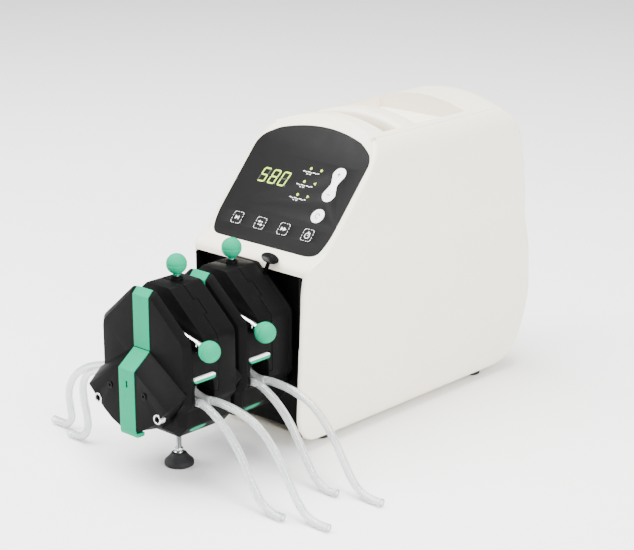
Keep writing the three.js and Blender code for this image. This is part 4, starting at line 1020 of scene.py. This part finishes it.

# ---------------------------------------------------------------- clamp buttons and finger tabs
# Each jaw carries a push button let into its right side: teal below, ribbed above, its upper half and ribs
# white as a painted highlight of light glinting on the ribs. Low on the same side a domed teal tab marks
# where the head is gripped.
# painted highlight: the button's upper half and its ribs are white where light glints on the teal ribs
painted_rib_highlight = moulded("white_painted_rib_highlight", "#F1F3F2", "#E4E8E7", 0.4, 0.6, 0.004)
BUTTON_Y, BUTTON_Z, BUTTON_LONG, BUTTON_TALL = 20.0, AXIS_Z + 9, 24.0, 5.0
BUTTON_BACK, BUTTON_FACE = 50.6, 55.0
RIB_COUNT, RIB_PITCH, RIB_R, RIB_SWELL = 8, 2.5, 0.62, 0.55


def softened(thing, segments):
    """Rounds a piece's edges over 0.4 mm."""
    edge = thing.modifiers.new("edge", "BEVEL")
    edge.width, edge.segments = 0.0004, segments
    applied(thing)


def button_half(upper):
    """Half a stadium's outline in Y and Z, flat along its middle line."""
    r = BUTTON_TALL / 2
    a = np.linspace(0, np.pi / 2, 9)
    reach = BUTTON_LONG / 2 - r
    right = np.column_stack([reach + r * np.cos(a), r * np.sin(a)])
    rim = np.vstack([right, (right * [-1, 1])[::-1]])
    return rim if upper else rim * [1, -1]


for head, face_y in HEADS.items():
    middle = [face_y + BUTTON_Y, BUTTON_Z]
    for part, upper, finish, proud in (("top", True, painted_rib_highlight, 0.1), ("base", False, teal_abs, 0.4)):
        points, faces = block_along(button_half(upper) + middle, 0, BUTTON_BACK, BUTTON_FACE + proud)
        softened(make(f"{head}_button_{part}", points, faces, finish, f"{head}_clamp_button",
                      "teal_plastic", hides=(f"{head}_clamp_button",)), 3)
    up, around = np.meshgrid(np.linspace(0, 1, 7), np.linspace(0, np.pi, 9), indexing="ij")
    swell = RIB_SWELL * np.sin(0.25 + up * (np.pi - 0.5))
    for i in range(RIB_COUNT):
        rib_y = middle[0] + (i - (RIB_COUNT - 1) / 2) * RIB_PITCH
        rib = np.stack([BUTTON_FACE + swell * np.sin(around), rib_y + RIB_R * np.cos(around),
                        BUTTON_Z + 0.15 + 1.95 * up], axis=-1)
        make(f"{head}_button_rib_{i + 1}", rib.reshape(-1, 3), capped(*rib.shape[:2]), painted_rib_highlight,
             f"{head}_clamp_button", "teal_plastic", hides=(f"{head}_clamp_button",))

TAB_X, TAB_Y, TAB_Z, TAB_HALF, TAB_HALF_TALL, TAB_RISE = 43.3, 21.0, 51.4, 10.0, 4.1, 0.9
slant = np.array([9.5, 0.0, 10.0]) / math.hypot(9.5, 10.0)
out_of_slant = np.array([slant[2], 0.0, -slant[0]])
for head, face_y in HEADS.items():
    at = np.array([TAB_X, face_y + TAB_Y, TAB_Z])
    u, v = np.meshgrid(np.linspace(0, 1, 10), np.linspace(0, 2 * np.pi, 48, endpoint=False), indexing="ij")
    wide, tall = superellipse(TAB_HALF, TAB_HALF_TALL, 2.4, v)
    tall = tall + 0.6 * (wide / TAB_HALF) ** 2
    rise = TAB_RISE * np.sqrt(np.maximum(0, 1 - u**2)) - 0.5
    tab = (at + (u * wide)[..., None] * np.array([0, 1, 0]) + (u * tall)[..., None] * slant
           + rise[..., None] * out_of_slant)
    grid = np.concatenate([tab, tab[-1:] - 0.8 * out_of_slant])
    make(f"{head}_grip_tab", grid.reshape(-1, 3), capped(*grid.shape[:2], first=False), teal_abs, ROOT,
         "teal_plastic")

# ---------------------------------------------------------------- rotors and rollers
# Three white acetal rollers turn on pins between two steel cheeks, on one shaft through both heads.
white_acetal = moulded("turned_white_acetal", "#ECEDEA", "#DDDFDB", 0.34, 0.5, 0.003)
turned_steel = metal("turned_steel", "#C2C5C8", "#A6A9AC", 0.3, 0.3, 8)
ROLLERS, PIN_CIRCLE, ROLLER_R = 3, 20.0, 7.0
roller = [(2.3, 10.6), (ROLLER_R - 0.8, 10.6), (ROLLER_R, 11.3), (ROLLER_R, 29.7), (ROLLER_R - 0.8, 30.4),
          (2.3, 30.4), (2.3, 10.6)]
for head, face_y in HEADS.items():
    edged(f"{head}_rotor", f"{head}_steel_rotor", turned_steel, 0.3)
    for i in range(ROLLERS):
        turn_to = math.pi / 2 + i * 2 * math.pi / ROLLERS
        at = (PIN_CIRCLE * math.cos(turn_to), face_y, AXIS_Z + PIN_CIRCLE * math.sin(turn_to))
        make(f"{head}_roller_{i + 1}_turned", *turned(roller, at, (0, 1, 0), 40), white_acetal,
             f"{head}_roller_{i + 1}", "roller_nylon", hides=(f"{head}_roller_{i + 1}",))

# ---------------------------------------------------------------- tie bolts, cap screws, release knob
# Two long bolts in bright sleeves hold both heads to the drive. Small blackened screws hold the cap.
# A mushroom-headed plunger under the lip lets the heads off.
black_oxide = metal("black_oxide_steel", "#0C0C0D", "#060607", 0.32, 0.3, 6, axis=1)
glossy_black = moulded("glossy_black_nylon", "#060607", "#040405", 0.22, 0.8, 0.003, shine=0.12)
BOLT_X, BOLT_Z, CAP_FACE = 37.0, AXIS_Z - 21.5, HEADS["front"] - 18


def hexagon(across_flats, u, v):
    """Six corners at equal angles round a point."""
    a = np.radians(np.arange(0, 360, 60))
    return across_flats / math.sqrt(3) * np.column_stack([np.cos(a), np.sin(a)]) + [u, v]


sleeve = [(2.9, -0.6), (3.2, -0.95), (4.0, -0.95), (4.4, -0.5), (4.4, 4.7), (2.9, 4.7), (2.9, -0.6)]
screw = [(0, -0.3), (2.5, -0.3), (2.85, 0.1), (2.85, 4.9), (2.4, 5.0), (2.4, 150), (0, 150)]
for hand, x in (("left", -BOLT_X), ("right", BOLT_X)):
    make(f"{hand}_bolt_sleeve", *turned(sleeve, (x, CAP_FACE, BOLT_Z), (0, 1, 0), 40), polished_steel,
         ROOT, "polished_steel", hides=(f"{hand}_tie_bolt",))
    bolt = make(f"{hand}_bolt_screw", *turned(screw, (x, CAP_FACE, BOLT_Z), (0, 1, 0), 32), black_oxide,
                ROOT, "polished_steel", hides=(f"{hand}_tie_bolt",))
    carved(bolt, [block_along(hexagon(3.0, x, BOLT_Z), 1, CAP_FACE - 2, CAP_FACE + 2.2)])

CAP_SCREW_X, CAP_SCREW_Z = 20.9, 84.4
rim = [(0, -0.8), (2.7, -0.8), (3.1, -0.4), (3.1, 2.4), (0, 2.4)]
for hand, x in (("left", -CAP_SCREW_X), ("right", CAP_SCREW_X)):
    cap_screw = make(f"{hand}_cap_screw", *turned(rim, (x, CAP_FACE, CAP_SCREW_Z), (0, 1, 0), 32),
                     black_oxide, ROOT, "polished_steel")
    carved(cap_screw, [block_along(hexagon(2.6, x, CAP_SCREW_Z), 1, CAP_FACE - 3, CAP_FACE + 1.4)])

KNOB_AT, KNOB_LEAN, KNOB_R = (30.0, -106.6, 174.3), math.radians(24), 8.0
knob = [(0, -28), (1.5, -28), (1.8, -27.7), (1.8, -3.2), (3.0, -2.4), (KNOB_R - 2.5, -1.7),
        (KNOB_R - 0.6, -1.0), (KNOB_R, -0.3), (KNOB_R, 0.3), (KNOB_R - 0.7, 0.9), (KNOB_R - 2.6, 1.5),
        (3.0, 1.85), (0, 1.95)]
make("release_knob_mushroom", *turned(knob, KNOB_AT, (math.sin(KNOB_LEAN), 0, math.cos(KNOB_LEAN)), 56),
     glossy_black, "release_knob", "black_plastic", sharp=30, hides=("release_knob",))

# ---------------------------------------------------------------- levelling foot and rubber feet
# A threaded steel stem with a locking nut in a bell-shaped rubber pad props up the front head. The
# drive stands on four moulded rubber feet.
foot_rubber = moulded("moulded_black_rubber", "#1C1C1E", "#151517", 0.62, 0.8, 0.03, patch=20.0, shine=0.3)
LEG_Y, THREAD_PITCH = HEADS["front"] + 39, 1.0


def threaded(radius, low, high, depth):
    """A screw: the radius falls by depth in a triangle wave of height minus one pitch per turn."""
    rows, columns = int((high - low) / THREAD_PITCH * 8), 28
    z, a = np.meshgrid(np.linspace(low, high, rows), np.linspace(0, 2 * np.pi, columns, endpoint=False),
                       indexing="ij")
    phase = (z / THREAD_PITCH - a / (2 * np.pi)) % 1
    r = radius - depth * np.abs(2 * phase - 1)
    points = np.stack([r * np.cos(a), LEG_Y + r * np.sin(a), z], axis=-1)
    return points.reshape(-1, 3), capped(rows, columns)


make("levelling_stem_thread", *threaded(2.5, 9.2, 61.0, 0.4), turned_steel, "levelling_foot",
     "polished_steel", sharp=25, hides=("levelling_stem",))
washer = [(2.2, 9.0), (4.6, 9.0), (4.6, 12.2), (4.1, 13.0), (2.2, 13.0), (2.2, 9.0)]
make("levelling_washer", *turned(washer, (0, LEG_Y, 0), (0, 0, 1), 48), polished_steel, "levelling_foot",
     "polished_steel", sharp=30, hides=("levelling_stem",))
lock_nut = block_along(hexagon(7.0, 0, LEG_Y), 2, 13.0, 15.6)
softened(make("levelling_lock_nut", *lock_nut, polished_steel, "levelling_foot", "polished_steel",
              hides=("levelling_stem",)), 2)
bell = [(0, 0), (12.2, 0), (12.8, 0.4), (13.0, 1.2), (13.0, 3.4), (12.7, 4.1), (11.2, 5.6), (9.4, 7.4),
        (7.7, 9.4), (6.7, 11.1), (6.2, 11.5), (5.3, 11.5), (5.0, 11.2), (5.0, 8.6), (0, 8.6)]
make("levelling_bell_pad", *turned(bell, (0, LEG_Y, 0), (0, 0, 1), 64), foot_rubber, "levelling_foot",
     "foot_rubber", sharp=35, hides=("levelling_pad",))
FOOT_X = 46.0
foot = [(0, 0.9), (4.2, 0.9), (4.8, 0.2), (5.4, 0), (8.2, 0), (8.8, 0.5), (9.0, 1.3), (8.7, 7.2), (0, 7.2)]
for end, y in (("front", NOSE_Y + 44), ("rear", REAR_Y - 66)):
    for hand, x in (("left", -FOOT_X), ("right", FOOT_X)):
        make(f"{end}_{hand}_rubber_foot", *turned(foot, (x, y, 0), (0, 0, 1), 40), foot_rubber, ROOT,
             "foot_rubber", hides=(f"{end}_{hand}_foot",))

# ---------------------------------------------------------------- mains inlet and rear fittings
# A black nylon inlet with three brass pins and a rocker switch, and four screws in the rear cover.
brass = metal("nickelled_brass", "#D8CFA8", "#BDB48C", 0.24, 0.3, 6, axis=1)
edged("power_inlet", "mains_inlet_block", glossy_black, 0.5)
edged("power_switch", "switch_rocker", glossy_black, 0.5)
SOCKET_X = -17.0
for name, dx, dz in (("left", -7, -1.5), ("earth", 0, 2), ("right", 7, -1.5)):
    blade = slot_outline(1.15, 2.15, 0.5) + [SOCKET_X + dx, INLET_Z + dz]
    pin = block_along(blade, 1, INLET_Y - 10.9, INLET_Y + 2.1)
    make(f"{name}_contact_pin", *pin, brass, ROOT, "polished_steel")
SLOT_HALF, SLOT_HALF_WIDE = 2.0, 0.35
pan_head = [(0, -1.0), (3.4, -1.0), (3.4, 0.25), (2.9, 0.7), (1.6, 0.95), (0, 1.0)]
for i, (x, z) in enumerate(((-52, 22), (52, 22), (-52, 200), (52, 200))):
    y = rear_at(np.array([float(z)]))[0]
    rear_screw = make(f"rear_screw_{i + 1}", *turned(pan_head, (x, y, z), (0, 1, 0), 32), black_oxide,
                      ROOT, "polished_steel")
    cross = [np.array([(x - a, z - b), (x + a, z - b), (x + a, z + b), (x - a, z + b)])
             for a, b in ((SLOT_HALF, SLOT_HALF_WIDE), (SLOT_HALF_WIDE, SLOT_HALF))]
    carved(rear_screw, [block_along(bar, 1, y + 0.2, y + 5) for bar in cross])

# ---------------------------------------------------------------- motor and circuit board
# A geared motor on the drive axis and a green board along the left wall, both inside the casing.
green_board = moulded("green_solder_mask", "#1C6A3B", "#16562F", 0.3, 3.0, 0.01, coat=0.3)
zinc_plate = metal("zinc_plated_steel", "#B9BDC0", "#9DA1A5", 0.34, 0.5, 10, axis=1)
edged("gear_motor", "zinc_plated_gear_motor", zinc_plate, 0.8)
edged("circuit_board", "drive_circuit_board", green_board, 0.3)
